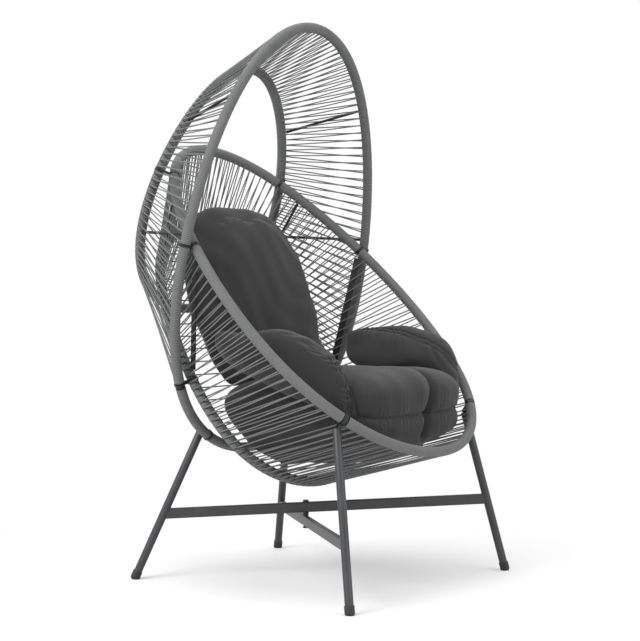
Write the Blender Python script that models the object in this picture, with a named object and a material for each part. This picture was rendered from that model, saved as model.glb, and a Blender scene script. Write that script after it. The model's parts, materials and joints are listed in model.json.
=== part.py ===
"""Egg lounge chair: rope-wound hood and seat shells on two crossed leg frames, with cushions.

Metres, +Z up. The origin is on the floor under the middle of the chair, and the sitter faces -Y.
"""
import math
from dataclasses import dataclass

import bmesh
import bpy
import numpy as np
from mathutils import Matrix, Vector
from mathutils.bvhtree import BVHTree

# Running clearance between neighbouring pieces
GAP = 0.0003

# The sitter's left is +X
SIDES = (("left", 1), ("right", -1))

# Round stock
TUBE_RADIUS = 0.010
WRAP_RADIUS = 0.0138
ROPE_WIDTH = 0.0035
LEG_RADIUS = 0.011
SPOKE_RADIUS = 0.004
TUBE_SIDES = 6
WRAP_SIDES = 8
LEG_SIDES = 14
ROD_SIDES = 8


@dataclass(frozen=True)
class Hoop:
    """An egg-shaped hoop, alike left and right, in a plane tilted about the X axis."""

    centre_y: float
    centre_z: float
    tilt_deg: float
    half_height: float
    half_width: float
    taper: float
    fullness: float

    def points(self, angle):
        """Centre-line points; the angle in radians runs from the top towards +X."""
        angle = np.asarray(angle, dtype=float)
        tilt = math.radians(self.tilt_deg)
        rise = self.half_height * np.cos(angle)
        swell = 1 + self.taper * np.cos(angle) + self.fullness * np.cos(2 * angle)
        side = self.half_width * np.sin(angle) * swell
        depth = self.centre_y + rise * math.cos(tilt)
        height = self.centre_z + rise * math.sin(tilt)
        return np.stack([side, depth, height], axis=-1)

    def tangents(self, angle):
        """Unit directions of travel along the hoop."""
        step = 1e-4
        chord = self.points(angle + step) - self.points(angle - step)
        return chord / np.linalg.norm(chord, axis=-1, keepdims=True)

    def normal(self):
        """Unit normal of the hoop's plane, towards the rear or the underside."""
        tilt = math.radians(self.tilt_deg)
        return Vector((0.0, math.sin(tilt), -math.cos(tilt)))


HOOD_FRONT = Hoop(0.0888, 0.9130, 100.93, 0.5835, 0.4255, -0.136, 0.049)
HOOD_BACK = Hoop(0.3114, 1.0579, 109.18, 0.3531, 0.2829, -0.200, 0.018)
SEAT_RING = Hoop(-0.0338, 0.7693, 45.74, 0.5640, 0.4205, -0.138, 0.030)
BASE_RING = Hoop(0.1819, 0.6029, 56.24, 0.4103, 0.3400, -0.148, 0.085)

# Places on the hoops, in degrees from the top
HOOD_STRAND_PITCH = 6.4
SEAT_STRAND_PITCH = 8.0
LOWER_WRAP_PITCH = 6.5
HOOD_SPOKE_UPPER = 48.6
HOOD_SPOKE_UPPER_BACK = 58.7
HOOD_SPOKE_LOWER = 89.0
HOOD_SPOKE_LOWER_BACK = 111.5
HOOD_SEAT_TIE = 91.9
HOOD_BASE_TIE = 131.4
REAR_LEG_STRAP = 156.3
BACK_BRACKET = 82.6
SEAT_BACK_BRACKET = 38.3
SEAT_SPOKE = 47.5
SEAT_SPOKE_BASE = 48.0
SEAT_HOOD_TIE = 72.5
SEAT_BASE_TIE = 105.8
SEAT_COLLAR = 139.2
BACK_TAIL_PITCH = 8.0
WRAP_GAP = 0.011
JOIN_GAP = 0.005

# How places on a front hoop map to places on its back hoop
BACK_SHARE = 1.03
BACK_GROWTH = 0.0008
BASE_LAG_DEG = 6.0

# Strands of the net that closes the seat shell's back
WEB_FIRST = 4
WEB_STEP = 2

# How a strand's foot sits on its facet
STRAND_THICKNESS = 0.0033
STRAND_LEAD = 0.30
CLOSE_LAYER_FROM = 60.0

# Lashings, brackets and ribs
LASH_WALL = 0.0018
LASH_BITE = 0.4
LASH_WIDTH = 0.008
LASH_STEEL_RADIUS = 0.0150
COLLAR_WIDTH = 0.0100
COLLAR_RADIUS = 0.0142
RIB_WIDTH = 0.020
RIB_THICKNESS = 0.004
LOWER_SPOKE_LIFT = 0.0037
RUN_STEP_DEG = 0.5
LUG_WIDTH = 0.018
LUG_THICKNESS = 0.008

# Legs and stretchers
REAR_FOOT = Vector((0.3204, 0.3451, 0.0))
FRONT_FOOT = Vector((0.3806, -0.4017, 0.0))
FRONT_LUG_REACH = 0.031
FRONT_LUG_LEAN_DEG = 32.0
REAR_LEG_STAND_OFF = WRAP_RADIUS + LASH_WALL + 2 * GAP + LEG_RADIUS
REAR_LEG_PROUD = 0.010
FOOT_WALL = 0.0016
FOOT_FLOOR = 0.006
FOOT_HEIGHT = 0.024
BAR_HEIGHT = 0.028
BAR_THICKNESS = 0.015
UPPER_BAR_REAR_HEIGHT = 0.1754
BAR_CROSSING_SPACE = 0.010
BAR_SLOPE_RISE = 0.0246
CROSS_BOLT_RADIUS = 0.004
CROSS_HEAD_RADIUS = 0.008
CROSS_HEAD_HEIGHT = 0.005
SPACER_RADIUS = 0.008

# Cushions
WEB_ROOM = 0.012
WALL_EXTENSION = 0.3
CUSHION_TO_CUSHION = 0.0006
CUSHION_TO_SHELL = 0.0024

# Seams: stations kept clear beside a channel, a front seam's width and a channel's dip in the edge
SEAM_CLEAR = 1.5
FRONT_SEAM_WIDTH = 0.25
CHANNEL_EDGE_SHARE = 0.4


def remove_scene_objects():
    """Empties the scene."""
    for item in list(bpy.data.objects):
        bpy.data.objects.remove(item, do_unlink=True)


def make_material(name, colour, roughness, metallic):
    """A Principled material of one finish."""
    material = bpy.data.materials.new(name)
    material.use_nodes = True
    shader = material.node_tree.nodes["Principled BSDF"]
    shader.inputs["Base Color"].default_value = (*colour, 1.0)
    shader.inputs["Roughness"].default_value = roughness
    shader.inputs["Metallic"].default_value = metallic
    return material


def finish_object(name, mesh_edit, material, smooth_deg=None):
    """Turns an edit mesh into an object whose faces point outwards."""
    bmesh.ops.recalc_face_normals(mesh_edit, faces=mesh_edit.faces[:])
    mesh = bpy.data.meshes.new(name)
    mesh_edit.to_mesh(mesh)
    mesh_edit.free()
    mesh.materials.append(material)
    if smooth_deg is not None:
        mesh.shade_smooth()
        mesh.set_sharp_from_angle(angle=math.radians(smooth_deg))
    item = bpy.data.objects.new(name, mesh)
    bpy.context.scene.collection.objects.link(item)
    return item


# Hoop stations and frames


def spread(keys_deg, pitch_deg):
    """Angles that pass through every key with about the given pitch between them."""
    angles = [keys_deg[0]]
    for start, end in zip(keys_deg[:-1], keys_deg[1:]):
        steps = max(1, round((end - start) / pitch_deg))
        angles.extend(start + (end - start) * i / steps for i in range(1, steps + 1))
    return np.array(angles)


def hood_to_back(angle_deg):
    """Where a strand that leaves the hood's front hoop meets the back hoop."""
    return angle_deg * (BACK_SHARE + BACK_GROWTH * np.abs(angle_deg))


def back_to_hood(angle_deg):
    """The place on the front hoop that faces a place on the back hoop."""
    root = math.sqrt(BACK_SHARE**2 + 4 * BACK_GROWTH * angle_deg)
    return (root - BACK_SHARE) / (2 * BACK_GROWTH)


def seat_to_base(angle_deg):
    """Where a strand that leaves the seat ring meets the base ring."""
    return angle_deg - BASE_LAG_DEG * np.sin(np.radians(angle_deg))


def degrees_for(hoop, angle_deg, length):
    """The angle that a short length covers on a hoop at a place."""
    step = math.radians(0.5)
    angle = math.radians(angle_deg)
    chord = hoop.points(angle + step) - hoop.points(angle - step)
    return length / float(np.linalg.norm(chord))


@dataclass
class Frames:
    """Centres and cross-section axes at the stations of a closed hoop."""

    centre: np.ndarray
    toward: np.ndarray
    outward: np.ndarray

    def polygons(self, radius, sides):
        """One polygon round each station, its first corner towards the partner hoop."""
        turn = 2 * np.pi * np.arange(sides) / sides
        across = np.cos(turn)[None, :, None] * self.toward[:, None]
        away = np.sin(turn)[None, :, None] * self.outward[:, None]
        return self.centre[:, None] + radius * (across + away)

    def polygon_at(self, place, radius, sides):
        """The polygon at a fractional station, on the straight run between two stations."""
        polygons = self.polygons(radius, sides)
        count = len(polygons)
        low = math.floor(place)
        share = place - low
        return polygons[low % count] * (1 - share) + polygons[(low + 1) % count] * share


def frames_for(hoop, angles_deg, partner, partner_deg, side):
    """Section axes that face the partner hoop all the way round."""
    angles = np.radians(angles_deg)
    centre = hoop.points(angles)
    tangent = hoop.tangents(angles)
    toward = partner.points(np.radians(partner_deg)) - centre
    toward -= (toward * tangent).sum(-1, keepdims=True) * tangent
    toward /= np.linalg.norm(toward, axis=-1, keepdims=True)
    return Frames(centre, toward, side * np.cross(tangent, toward))


# Meshes


def add_loop(mesh_edit, points):
    """New corners for one ring of points."""
    return [mesh_edit.verts.new(point) for point in points]


def skin_between(mesh_edit, first, second):
    """Quads between two rings of equal count."""
    count = len(first)
    for i in range(count):
        j = (i + 1) % count
        mesh_edit.faces.new((first[i], first[j], second[j], second[i]))


def close_annulus(mesh_edit, outer, inner):
    """Triangles between two rings whose counts differ, both starting at the same turn."""
    outer_count = len(outer)
    inner_count = len(inner)
    i = 0
    j = 0
    while i < outer_count or j < inner_count:
        take_outer = j == inner_count or (
            i < outer_count and (i + 1) / outer_count <= (j + 1) / inner_count
        )
        if take_outer:
            corners = (outer[i], outer[(i + 1) % outer_count], inner[j % inner_count])
            i += 1
        else:
            corners = (inner[j], inner[(j + 1) % inner_count], outer[i % outer_count])
            j += 1
        mesh_edit.faces.new(corners)


def add_core(mesh_edit, frames, radius, sides):
    """A closed hoop of solid section."""
    loops = [add_loop(mesh_edit, polygon) for polygon in frames.polygons(radius, sides)]
    for first, second in zip(loops, loops[1:] + loops[:1]):
        skin_between(mesh_edit, first, second)


def set_foot(mesh_edit, corners, place, width, height):
    """Frames a strand's square foot in a facet and returns the foot's corners."""
    near, far, far_up, near_up = (corner.co for corner in corners)
    half_along = 0.5 * width / (far - near).length
    half_across = 0.5 * height / (near_up - near).length
    foot = []
    for along, across in ((-1, -1), (1, -1), (1, 1), (-1, 1)):
        x = place + along * half_along
        y = 0.5 + across * half_across
        low = near * (1 - x) + far * x
        high = near_up * (1 - x) + far_up * x
        foot.append(mesh_edit.verts.new(low * (1 - y) + high * y))
    for i in range(4):
        j = (i + 1) % 4
        mesh_edit.faces.new((corners[i], corners[j], foot[j], foot[i]))
    return foot


def add_strand(mesh_edit, first, second, way):
    """Four walls between two feet, paired so that the strand isn't twisted.

    The way is 1 between sleeves of opposite hand and -1 within one sleeve. Slanted feet differ
    along the strand, so the corners are matched by their offsets square to it.
    """
    middle_first = sum((v.co for v in first), Vector()) / 4
    middle_second = sum((v.co for v in second), Vector()) / 4
    along = (middle_second - middle_first).normalized()

    def twist(order):
        offsets = [(b.co - middle_second) - (a.co - middle_first) for a, b in zip(first, order)]
        return sum(offset.length_squared - offset.dot(along) ** 2 for offset in offsets)

    orders = [[second[(start + way * i) % 4] for i in range(4)] for start in range(4)]
    best = min(orders, key=twist)
    for i in range(4):
        j = (i + 1) % 4
        mesh_edit.faces.new((first[i], first[j], best[j], best[i]))


OUTER_FACET = 1
INNER_FACET = 6
CLOSE_FACET = 7
WEB_FACETS = (0, 2, 3, 4, 5, 7)


def foot_height(facet):
    """How far a foot reaches across its slanted facet for a strand of even thickness."""
    turn = 2 * math.pi * (facet + 0.5) / WRAP_SIDES
    return STRAND_THICKNESS / abs(math.cos(turn))


class Wrap:
    """A wound rope sleeve on part of a hoop, with strand feet on some of its facets."""

    def __init__(self, mesh_edit, frames, stations, feet, web_facets=()):
        """Feet maps (segment, facet) to the foot's place along the segment."""
        self.mesh_edit = mesh_edit
        self.feet = {}
        outer_rings = frames.polygons(WRAP_RADIUS, WRAP_SIDES)
        inner_rings = frames.polygons(TUBE_RADIUS + GAP, TUBE_SIDES)
        outer = [add_loop(mesh_edit, outer_rings[i]) for i in stations]
        inner = [add_loop(mesh_edit, inner_rings[i]) for i in stations]
        for row, segment in enumerate(stations[:-1]):
            skin_between(mesh_edit, inner[row], inner[row + 1])
            for facet in range(WRAP_SIDES):
                up = (facet + 1) % WRAP_SIDES
                corners = (outer[row][facet], outer[row + 1][facet],
                           outer[row + 1][up], outer[row][up])
                if (segment, facet) in feet:
                    place = feet[(segment, facet)]
                    height = STRAND_THICKNESS if facet in web_facets else foot_height(facet)
                    foot = set_foot(mesh_edit, corners, place, ROPE_WIDTH, height)
                    self.feet[(segment, facet)] = foot
                else:
                    mesh_edit.faces.new(corners)
        close_annulus(mesh_edit, outer[0], inner[0])
        close_annulus(mesh_edit, outer[-1], inner[-1])


def strand_feet(segments, lead_out, close_segments=()):
    """Feet of the outer and the inner layer on each strand segment.

    On close segments the inner layer leaves nearer the middle of the shell's wall.
    """
    feet = {}
    for segment in segments:
        inner_facet = CLOSE_FACET if segment in close_segments else INNER_FACET
        feet[(segment, OUTER_FACET)] = STRAND_LEAD if lead_out else 1 - STRAND_LEAD
        feet[(segment, inner_facet)] = 1 - STRAND_LEAD if lead_out else STRAND_LEAD
    return feet


# Hood: the two hoops and the rope between them

HOOD_GAP_HALF = degrees_for(HOOD_FRONT, HOOD_BASE_TIE, WRAP_GAP / 2)
HOOD_KEYS = [0.0, HOOD_SPOKE_UPPER, back_to_hood(BACK_BRACKET), HOOD_SPOKE_LOWER, HOOD_SEAT_TIE,
             HOOD_BASE_TIE - HOOD_GAP_HALF]
LOWER_KEYS = [HOOD_BASE_TIE + HOOD_GAP_HALF, REAR_LEG_STRAP, 180.0]


def mirrored(keys):
    """Keys from the far side through zero to the near side."""
    return [-key for key in reversed(keys[1:])] + keys


def beyond(keys):
    """Keys from one side through 180 degrees to the other."""
    return keys + [360.0 - key for key in reversed(keys[:-1])]


hood_upper = spread(mirrored(HOOD_KEYS), HOOD_STRAND_PITCH)
hood_lower = spread(beyond(LOWER_KEYS), LOWER_WRAP_PITCH)
hood_angles = np.concatenate([hood_upper, [HOOD_BASE_TIE], hood_lower, [360.0 - HOOD_BASE_TIE]])
back_end = float(hood_to_back(hood_upper[-1]))
hood_partner = np.concatenate([
    hood_to_back(hood_upper),
    np.interp(hood_angles[len(hood_upper):], [hood_upper[-1], 180.0, 360.0 - hood_upper[-1]],
              [back_end, 180.0, 360.0 - back_end]),
])
back_join = degrees_for(HOOD_BACK, 180.0, JOIN_GAP / 2)
back_tail = spread([back_end, 180.0 - back_join], BACK_TAIL_PITCH)[1:]
back_head = 360.0 - back_tail[::-1]
back_angles = np.concatenate([hood_to_back(hood_upper), back_tail, back_head])
back_partner = np.concatenate([
    hood_upper,
    np.interp(back_tail, [back_end, 180.0], [hood_upper[-1], 180.0]),
    np.interp(back_head, [180.0, 360.0 - back_end], [180.0, 360.0 - hood_upper[-1]]),
])
hood_frames = frames_for(HOOD_FRONT, hood_angles, HOOD_BACK, hood_partner, 1)
back_frames = frames_for(HOOD_BACK, back_angles, HOOD_FRONT, back_partner, -1)

# Seat shell: the two rings and the rope between them

SEAT_GAP_HALF = degrees_for(SEAT_RING, SEAT_COLLAR, WRAP_GAP / 2)
BOTTOM_JOIN = degrees_for(BASE_RING, 180.0, JOIN_GAP / 2)
SEAT_REAR_KEYS = [0.0, SEAT_BACK_BRACKET, SEAT_SPOKE, SEAT_HOOD_TIE, SEAT_BASE_TIE,
                  SEAT_COLLAR - SEAT_GAP_HALF]
SEAT_FRONT_KEYS = [SEAT_COLLAR + SEAT_GAP_HALF, 180.0 - BOTTOM_JOIN]

seat_rear = spread(mirrored(SEAT_REAR_KEYS), SEAT_STRAND_PITCH)
seat_front_left = spread(SEAT_FRONT_KEYS, SEAT_STRAND_PITCH)
seat_front_right = 360.0 - seat_front_left[::-1]
seat_angles = np.concatenate([
    seat_rear, [SEAT_COLLAR], seat_front_left, seat_front_right, [360.0 - SEAT_COLLAR],
])
base_angles = seat_to_base(seat_angles)
seat_frames = frames_for(SEAT_RING, seat_angles, BASE_RING, base_angles, 1)
base_frames = frames_for(BASE_RING, base_angles, SEAT_RING, seat_angles, -1)


def station_near(angles_deg, angle_deg):
    """The index of the station nearest to an angle."""
    turn = (np.asarray(angles_deg) - angle_deg + 180.0) % 360.0 - 180.0
    return int(np.abs(turn).argmin())


def make_steel_hoops(steel):
    """The four bare steel hoops inside the windings."""
    for name, frames in (
        ("hood_front_hoop", hood_frames), ("hood_back_hoop", back_frames),
        ("seat_ring", seat_frames), ("base_ring", base_frames),
    ):
        mesh_edit = bmesh.new()
        add_core(mesh_edit, frames, TUBE_RADIUS, TUBE_SIDES)
        finish_object(name, mesh_edit, steel, 50)


def make_hood_rope(rope):
    """The hood's rope: a sleeve on each hoop and two layers of strands between them."""
    mesh_edit = bmesh.new()
    upper_count = len(hood_upper)
    segments = range(upper_count - 1)
    middles = (hood_upper[1:] + hood_upper[:-1]) / 2
    close = [i for i in segments if abs(middles[i]) > CLOSE_LAYER_FROM]
    front_feet = strand_feet(segments, True, close)
    front = Wrap(mesh_edit, hood_frames, list(range(upper_count)), front_feet)
    back_count = len(back_angles)
    head_start = upper_count + len(back_tail)
    order = list(range(head_start, back_count)) + list(range(head_start))
    back = Wrap(mesh_edit, back_frames, order, strand_feet(segments, False, close))
    for key, foot in front.feet.items():
        add_strand(mesh_edit, foot, back.feet[key], 1)
    finish_object("hood_rope", mesh_edit, rope, 50)


def make_lower_wrap(rope):
    """The plain winding on the hood hoop's foot, below the base ring's lashings."""
    mesh_edit = bmesh.new()
    start = len(hood_upper) + 1
    Wrap(mesh_edit, hood_frames, list(range(start, start + len(hood_lower))), {})
    finish_object("hood_lower_wrap", mesh_edit, rope, 50)


def web_facet(segment, direction):
    """The free facet of the base ring's sleeve that looks most along a direction."""
    toward = base_frames.toward[segment]
    outward = base_frames.outward[segment]
    best = None
    for facet in WEB_FACETS:
        turn = 2 * math.pi * (facet + 0.5) / WRAP_SIDES
        normal = math.cos(turn) * toward + math.sin(turn) * outward
        score = float(normal @ direction)
        if best is None or score > best[0]:
            best = (score, facet)
    return best[1]


def make_seat_rope(rope):
    """The seat shell's rope: sleeves on both rings, two layers of strands and the back web."""
    mesh_edit = bmesh.new()
    rear_count = len(seat_rear)
    count = len(seat_angles)
    front_start = rear_count + 1
    join = front_start + len(seat_front_left) - 1
    rear_segments = list(range(rear_count - 1))
    front_segments = [i for i in range(front_start, count - 2) if i != join]
    seat_feet = strand_feet(rear_segments + front_segments, True)
    rear = Wrap(mesh_edit, seat_frames, list(range(rear_count)), seat_feet)
    front = Wrap(mesh_edit, seat_frames, list(range(front_start, count - 1)), seat_feet)
    base_feet = strand_feet(rear_segments + front_segments, False)
    web = []
    for left in range(rear_count // 2 + WEB_FIRST, rear_count - 1, WEB_STEP):
        right = rear_count - 2 - left
        left_facet = web_facet(left, np.array([-1.0, 0.0, 0.0]))
        right_facet = web_facet(right, np.array([1.0, 0.0, 0.0]))
        base_feet[(left, left_facet)] = 0.5
        base_feet[(right, right_facet)] = 0.5
        web.append(((left, left_facet), (right, right_facet)))
    base_order = list(range(join + 1, count)) + list(range(join + 1))
    base = Wrap(mesh_edit, base_frames, base_order, base_feet, WEB_FACETS)
    for sleeve in (rear, front):
        for key, foot in sleeve.feet.items():
            add_strand(mesh_edit, foot, base.feet[key], 1)
    for left, right in web:
        add_strand(mesh_edit, base.feet[left], base.feet[right], -1)
    finish_object("seat_rope", mesh_edit, rope, 50)


# Solid helpers


def axes_along(direction, hint):
    """A rotation whose Z runs along a direction and whose X is nearest to a hint."""
    z = Vector(direction).normalized()
    x = Vector(hint) - z * Vector(hint).dot(z)
    x.normalize()
    y = z.cross(x)
    return Matrix((x, y, z)).transposed().to_4x4()


def add_prism(mesh_edit, start, end, outline, hint):
    """A straight bar of any outline between two points."""
    start = Vector(start)
    end = Vector(end)
    turn = axes_along(end - start, hint)
    loops = []
    for place in (start, end):
        loops.append([mesh_edit.verts.new(place + turn @ Vector((x, y, 0.0))) for x, y in outline])
    skin_between(mesh_edit, loops[0], loops[1])
    mesh_edit.faces.new(loops[0])
    mesh_edit.faces.new(loops[1])


def disc(radius, sides):
    """A round outline."""
    return [(radius * math.cos(2 * math.pi * i / sides), radius * math.sin(2 * math.pi * i / sides))
            for i in range(sides)]


def plate(width, thickness):
    """A rectangular outline."""
    return [(-width / 2, -thickness / 2), (width / 2, -thickness / 2),
            (width / 2, thickness / 2), (-width / 2, thickness / 2)]


def straight_object(name, start, end, outline, material, hint=(0.0, 0.0, 1.0), smooth_deg=None):
    """A bar, rod or tube as an object."""
    mesh_edit = bmesh.new()
    add_prism(mesh_edit, start, end, outline, hint)
    return finish_object(name, mesh_edit, material, smooth_deg)


def apply_boolean(item, tool, operation):
    """Joins or cuts one object with another and removes the tool."""
    modifier = item.modifiers.new(operation.lower(), "BOOLEAN")
    modifier.operation = operation
    modifier.solver = "EXACT"
    modifier.object = tool
    graph = bpy.context.evaluated_depsgraph_get()
    mesh = bpy.data.meshes.new_from_object(item.evaluated_get(graph))
    item.modifiers.clear()
    item.data = mesh
    bpy.data.objects.remove(tool, do_unlink=True)


def band(name, frames, station, width, inner_radius, inner_sides, outer_radius, material):
    """A short open ring round a hoop at one of its stations."""
    count = len(frames.centre)
    before = frames.centre[(station - 1) % count]
    here = frames.centre[station % count]
    after = frames.centre[(station + 1) % count]
    back_share = 0.5 * width / float(np.linalg.norm(here - before))
    fore_share = 0.5 * width / float(np.linalg.norm(after - here))
    mesh_edit = bmesh.new()
    loops = []
    for place in (station - back_share, station, station + fore_share):
        outer = add_loop(mesh_edit, frames.polygon_at(place, outer_radius, WRAP_SIDES))
        inner = add_loop(mesh_edit, frames.polygon_at(place, inner_radius, inner_sides))
        loops.append((outer, inner))
    for (outer, inner), (next_outer, next_inner) in zip(loops[:-1], loops[1:]):
        skin_between(mesh_edit, outer, next_outer)
        skin_between(mesh_edit, inner, next_inner)
    close_annulus(mesh_edit, *loops[0])
    close_annulus(mesh_edit, *loops[-1])
    return finish_object(name, mesh_edit, material)


def sleeve_band(name, frames, station, material):
    """A lashing round a wound hoop."""
    inner = WRAP_RADIUS + GAP
    return band(name, frames, station, LASH_WIDTH, inner, WRAP_SIDES, inner + LASH_WALL, material)


def lash_pair(name, first, second, material, bare=False):
    """Two loops round neighbouring hoops with the short web that joins them.

    First and second are each the hoop's frames and a station; a bare first hoop has no winding there.
    """
    frames, station = first
    other_frames, other_station = second
    if bare:
        tie = band(name, frames, station, LASH_WIDTH, TUBE_RADIUS + GAP, TUBE_SIDES,
                   LASH_STEEL_RADIUS, material)
    else:
        tie = sleeve_band(name, frames, station, material)
    other = sleeve_band("loop", other_frames, other_station, material)
    start = Vector(frames.centre[station])
    end = Vector(other_frames.centre[other_station])
    along = (end - start).normalized()
    reach = WRAP_RADIUS + GAP + LASH_BITE * LASH_WALL
    web = straight_object("web", start + along * reach, end - along * reach,
                          plate(LASH_WIDTH, LASH_WIDTH), material, frames.toward[station])
    apply_boolean(tie, web, "UNION")
    apply_boolean(tie, other, "UNION")


def make_lashings(black):
    """The lashings and brackets that hold the hood to the seat shell."""
    base_tie = float(seat_to_base(SEAT_BASE_TIE))
    for side, sign in SIDES:

        def on(frames, angles_deg, angle_deg):
            return frames, station_near(angles_deg, sign * angle_deg)

        lash_pair(f"base_hood_lashing_{side}", on(hood_frames, hood_angles, HOOD_BASE_TIE),
                  on(base_frames, base_angles, base_tie), black, bare=True)
        lash_pair(f"seat_hood_lashing_{side}", on(hood_frames, hood_angles, HOOD_SEAT_TIE),
                  on(seat_frames, seat_angles, SEAT_HOOD_TIE), black)
        lash_pair(f"back_hoop_bracket_{side}", on(seat_frames, seat_angles, SEAT_BACK_BRACKET),
                  on(back_frames, back_angles, BACK_BRACKET), black)


def place_on(frames, angles_deg, angle_deg):
    """The centre and outward axis at any place on a hoop, and the two straight runs that meet there."""

    def between(values, place_deg):
        return Vector([float(np.interp(place_deg, angles_deg, column)) for column in values.T])

    centre = between(frames.centre, angle_deg)
    before = centre - between(frames.centre, angle_deg - RUN_STEP_DEG)
    after = between(frames.centre, angle_deg + RUN_STEP_DEG) - centre
    return centre, between(frames.outward, angle_deg).normalized(), (before.normalized(), after.normalized())


def end_setback(along, runs, half_width, lashed):
    """How far short of a hoop's centre a square-ended bar stops so that its corner stays clear.

    A bar that ends under a lashing also stays clear of the lashing's edge.
    """
    lean = max(abs(along.dot(run)) for run in runs)
    slope = math.sqrt(1 - lean**2)
    setback = (WRAP_RADIUS + GAP + half_width * lean) / slope
    if lashed:
        lash_radius = WRAP_RADIUS + GAP + LASH_WALL + GAP
        setback = max(setback, lash_radius * slope + LASH_WIDTH / 2 * lean)
    return setback


def make_spreaders(black):
    """The rods and flat bars inside the rope walls that hold each pair of hoops apart."""
    rod = (disc(SPOKE_RADIUS, ROD_SIDES), SPOKE_RADIUS)
    rib = (plate(RIB_WIDTH, RIB_THICKNESS), RIB_WIDTH / 2)
    hood = ((hood_frames, hood_angles), (back_frames, back_angles))
    seat = ((seat_frames, seat_angles), (base_frames, base_angles))
    base_tie = float(seat_to_base(SEAT_BASE_TIE))
    spreaders = (
        ("hood_spoke_upper", hood, HOOD_SPOKE_UPPER, HOOD_SPOKE_UPPER_BACK, rod, 0.0),
        ("hood_spoke_lower", hood, HOOD_SPOKE_LOWER, HOOD_SPOKE_LOWER_BACK, rod, LOWER_SPOKE_LIFT),
        ("seat_spoke", seat, SEAT_SPOKE, SEAT_SPOKE_BASE, rod, 0.0),
        ("side_rib", seat, SEAT_HOOD_TIE, base_tie, rib, 0.0),
    )
    for side, sign in SIDES:
        for name, (first, second), first_deg, second_deg, (outline, half_width), lift in spreaders:
            start, outward, runs = place_on(*first, sign * first_deg)
            end, end_outward, end_runs = place_on(*second, sign * second_deg)
            start += outward * lift
            end += end_outward * lift
            along = (end - start).normalized()
            hint = along.cross(outward + end_outward)
            lashed = name == "side_rib"
            start += along * end_setback(along, runs, half_width, lashed)
            end -= along * end_setback(along, end_runs, half_width, lashed)
            straight_object(f"{name}_{side}", start, end, outline, black, hint, 50)


def mirror_x(point, sign):
    """A point on the sitter's left (+1) or right (-1)."""
    return Vector((sign * point.x, point.y, point.z))


def leg_line(end, sign):
    """The axis of a leg: a point on the floor and the axis's top."""
    if end == "rear":
        station = station_near(hood_angles, sign * REAR_LEG_STRAP)
        hold = Vector(hood_frames.centre[station])
        foot = mirror_x(REAR_FOOT, sign)
        along = (hold - foot).normalized()
        stand_off = HOOD_FRONT.normal()
        stand_off -= along * stand_off.dot(along)
        passing = hold + stand_off.normalized() * REAR_LEG_STAND_OFF
        return foot, passing + (passing - foot).normalized() * REAR_LEG_PROUD
    hold, down = front_lug(sign)
    return mirror_x(FRONT_FOOT, sign), hold + down * FRONT_LUG_REACH


def front_lug(sign):
    """The seat ring's centre at a collar and the lug's direction, square to the ring there."""
    station = station_near(seat_angles, sign * SEAT_COLLAR)
    lean = math.radians(FRONT_LUG_LEAN_DEG)
    down = Vector((0.0, math.sin(lean), -math.cos(lean)))
    travel = Vector(SEAT_RING.tangents(math.radians(sign * SEAT_COLLAR)))
    down -= travel * down.dot(travel)
    return Vector(seat_frames.centre[station]), down.normalized()


def keep_side(item, point, normal):
    """Cuts an object flat with a plane and keeps the side that the normal points to."""
    mesh_edit = bmesh.new()
    mesh_edit.from_mesh(item.data)
    everything = mesh_edit.verts[:] + mesh_edit.edges[:] + mesh_edit.faces[:]
    bmesh.ops.bisect_plane(mesh_edit, geom=everything, plane_co=point, plane_no=normal, clear_inner=True)
    bmesh.ops.holes_fill(mesh_edit, edges=[e for e in mesh_edit.edges if e.is_boundary], sides=0)
    bmesh.ops.recalc_face_normals(mesh_edit, faces=mesh_edit.faces[:])
    mesh_edit.to_mesh(item.data)
    mesh_edit.free()


def foot_cap(name, foot, top, material):
    """A plastic cup on the end of a leg, cut flat where it stands on the floor."""
    along = (top - foot).normalized()
    outer = LEG_RADIUS + GAP + FOOT_WALL
    cap = straight_object(name, foot - along * outer, foot + along * FOOT_HEIGHT,
                          disc(outer, LEG_SIDES), material, (1.0, 0.0, 0.0), 50)
    bore = straight_object("bore", foot + along * FOOT_FLOOR, foot + along * 2 * FOOT_HEIGHT,
                           disc(LEG_RADIUS + GAP, LEG_SIDES), material, (1.0, 0.0, 0.0))
    apply_boolean(cap, bore, "DIFFERENCE")
    keep_side(cap, (0.0, 0.0, 0.0), (0.0, 0.0, 1.0))


def make_legs(steel, black, plastic):
    """Four splayed legs with their foot caps and upper fixings."""
    for end in ("rear", "front"):
        for side, sign in SIDES:
            foot, top = leg_line(end, sign)
            along = (top - foot).normalized()
            leg = straight_object(f"{end}_leg_{side}", foot + along * (FOOT_FLOOR + GAP),
                                  top + along * (LEG_RADIUS if end == "front" else 0.0),
                                  disc(LEG_RADIUS, LEG_SIDES), steel, (1.0, 0.0, 0.0), 50)
            foot_cap(f"foot_cap_{end}_{side}", foot, top, plastic)
            if end == "rear":
                station = station_near(hood_angles, sign * REAR_LEG_STRAP)
                sleeve_band(f"rear_leg_strap_{side}", hood_frames, station, black)
                continue
            station = station_near(seat_angles, sign * SEAT_COLLAR)
            collar = band(f"front_leg_collar_{side}", seat_frames, station, COLLAR_WIDTH,
                          TUBE_RADIUS + GAP, TUBE_SIDES, COLLAR_RADIUS, black)
            hold, down = front_lug(sign)
            keep_side(leg, top, down)
            travel = SEAT_RING.tangents(math.radians(sign * SEAT_COLLAR))
            lug = straight_object("lug", hold + down * (TUBE_RADIUS + LASH_WALL), top - down * GAP,
                                  plate(LUG_THICKNESS, LUG_WIDTH), black, travel)
            apply_boolean(collar, lug, "UNION")


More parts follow.
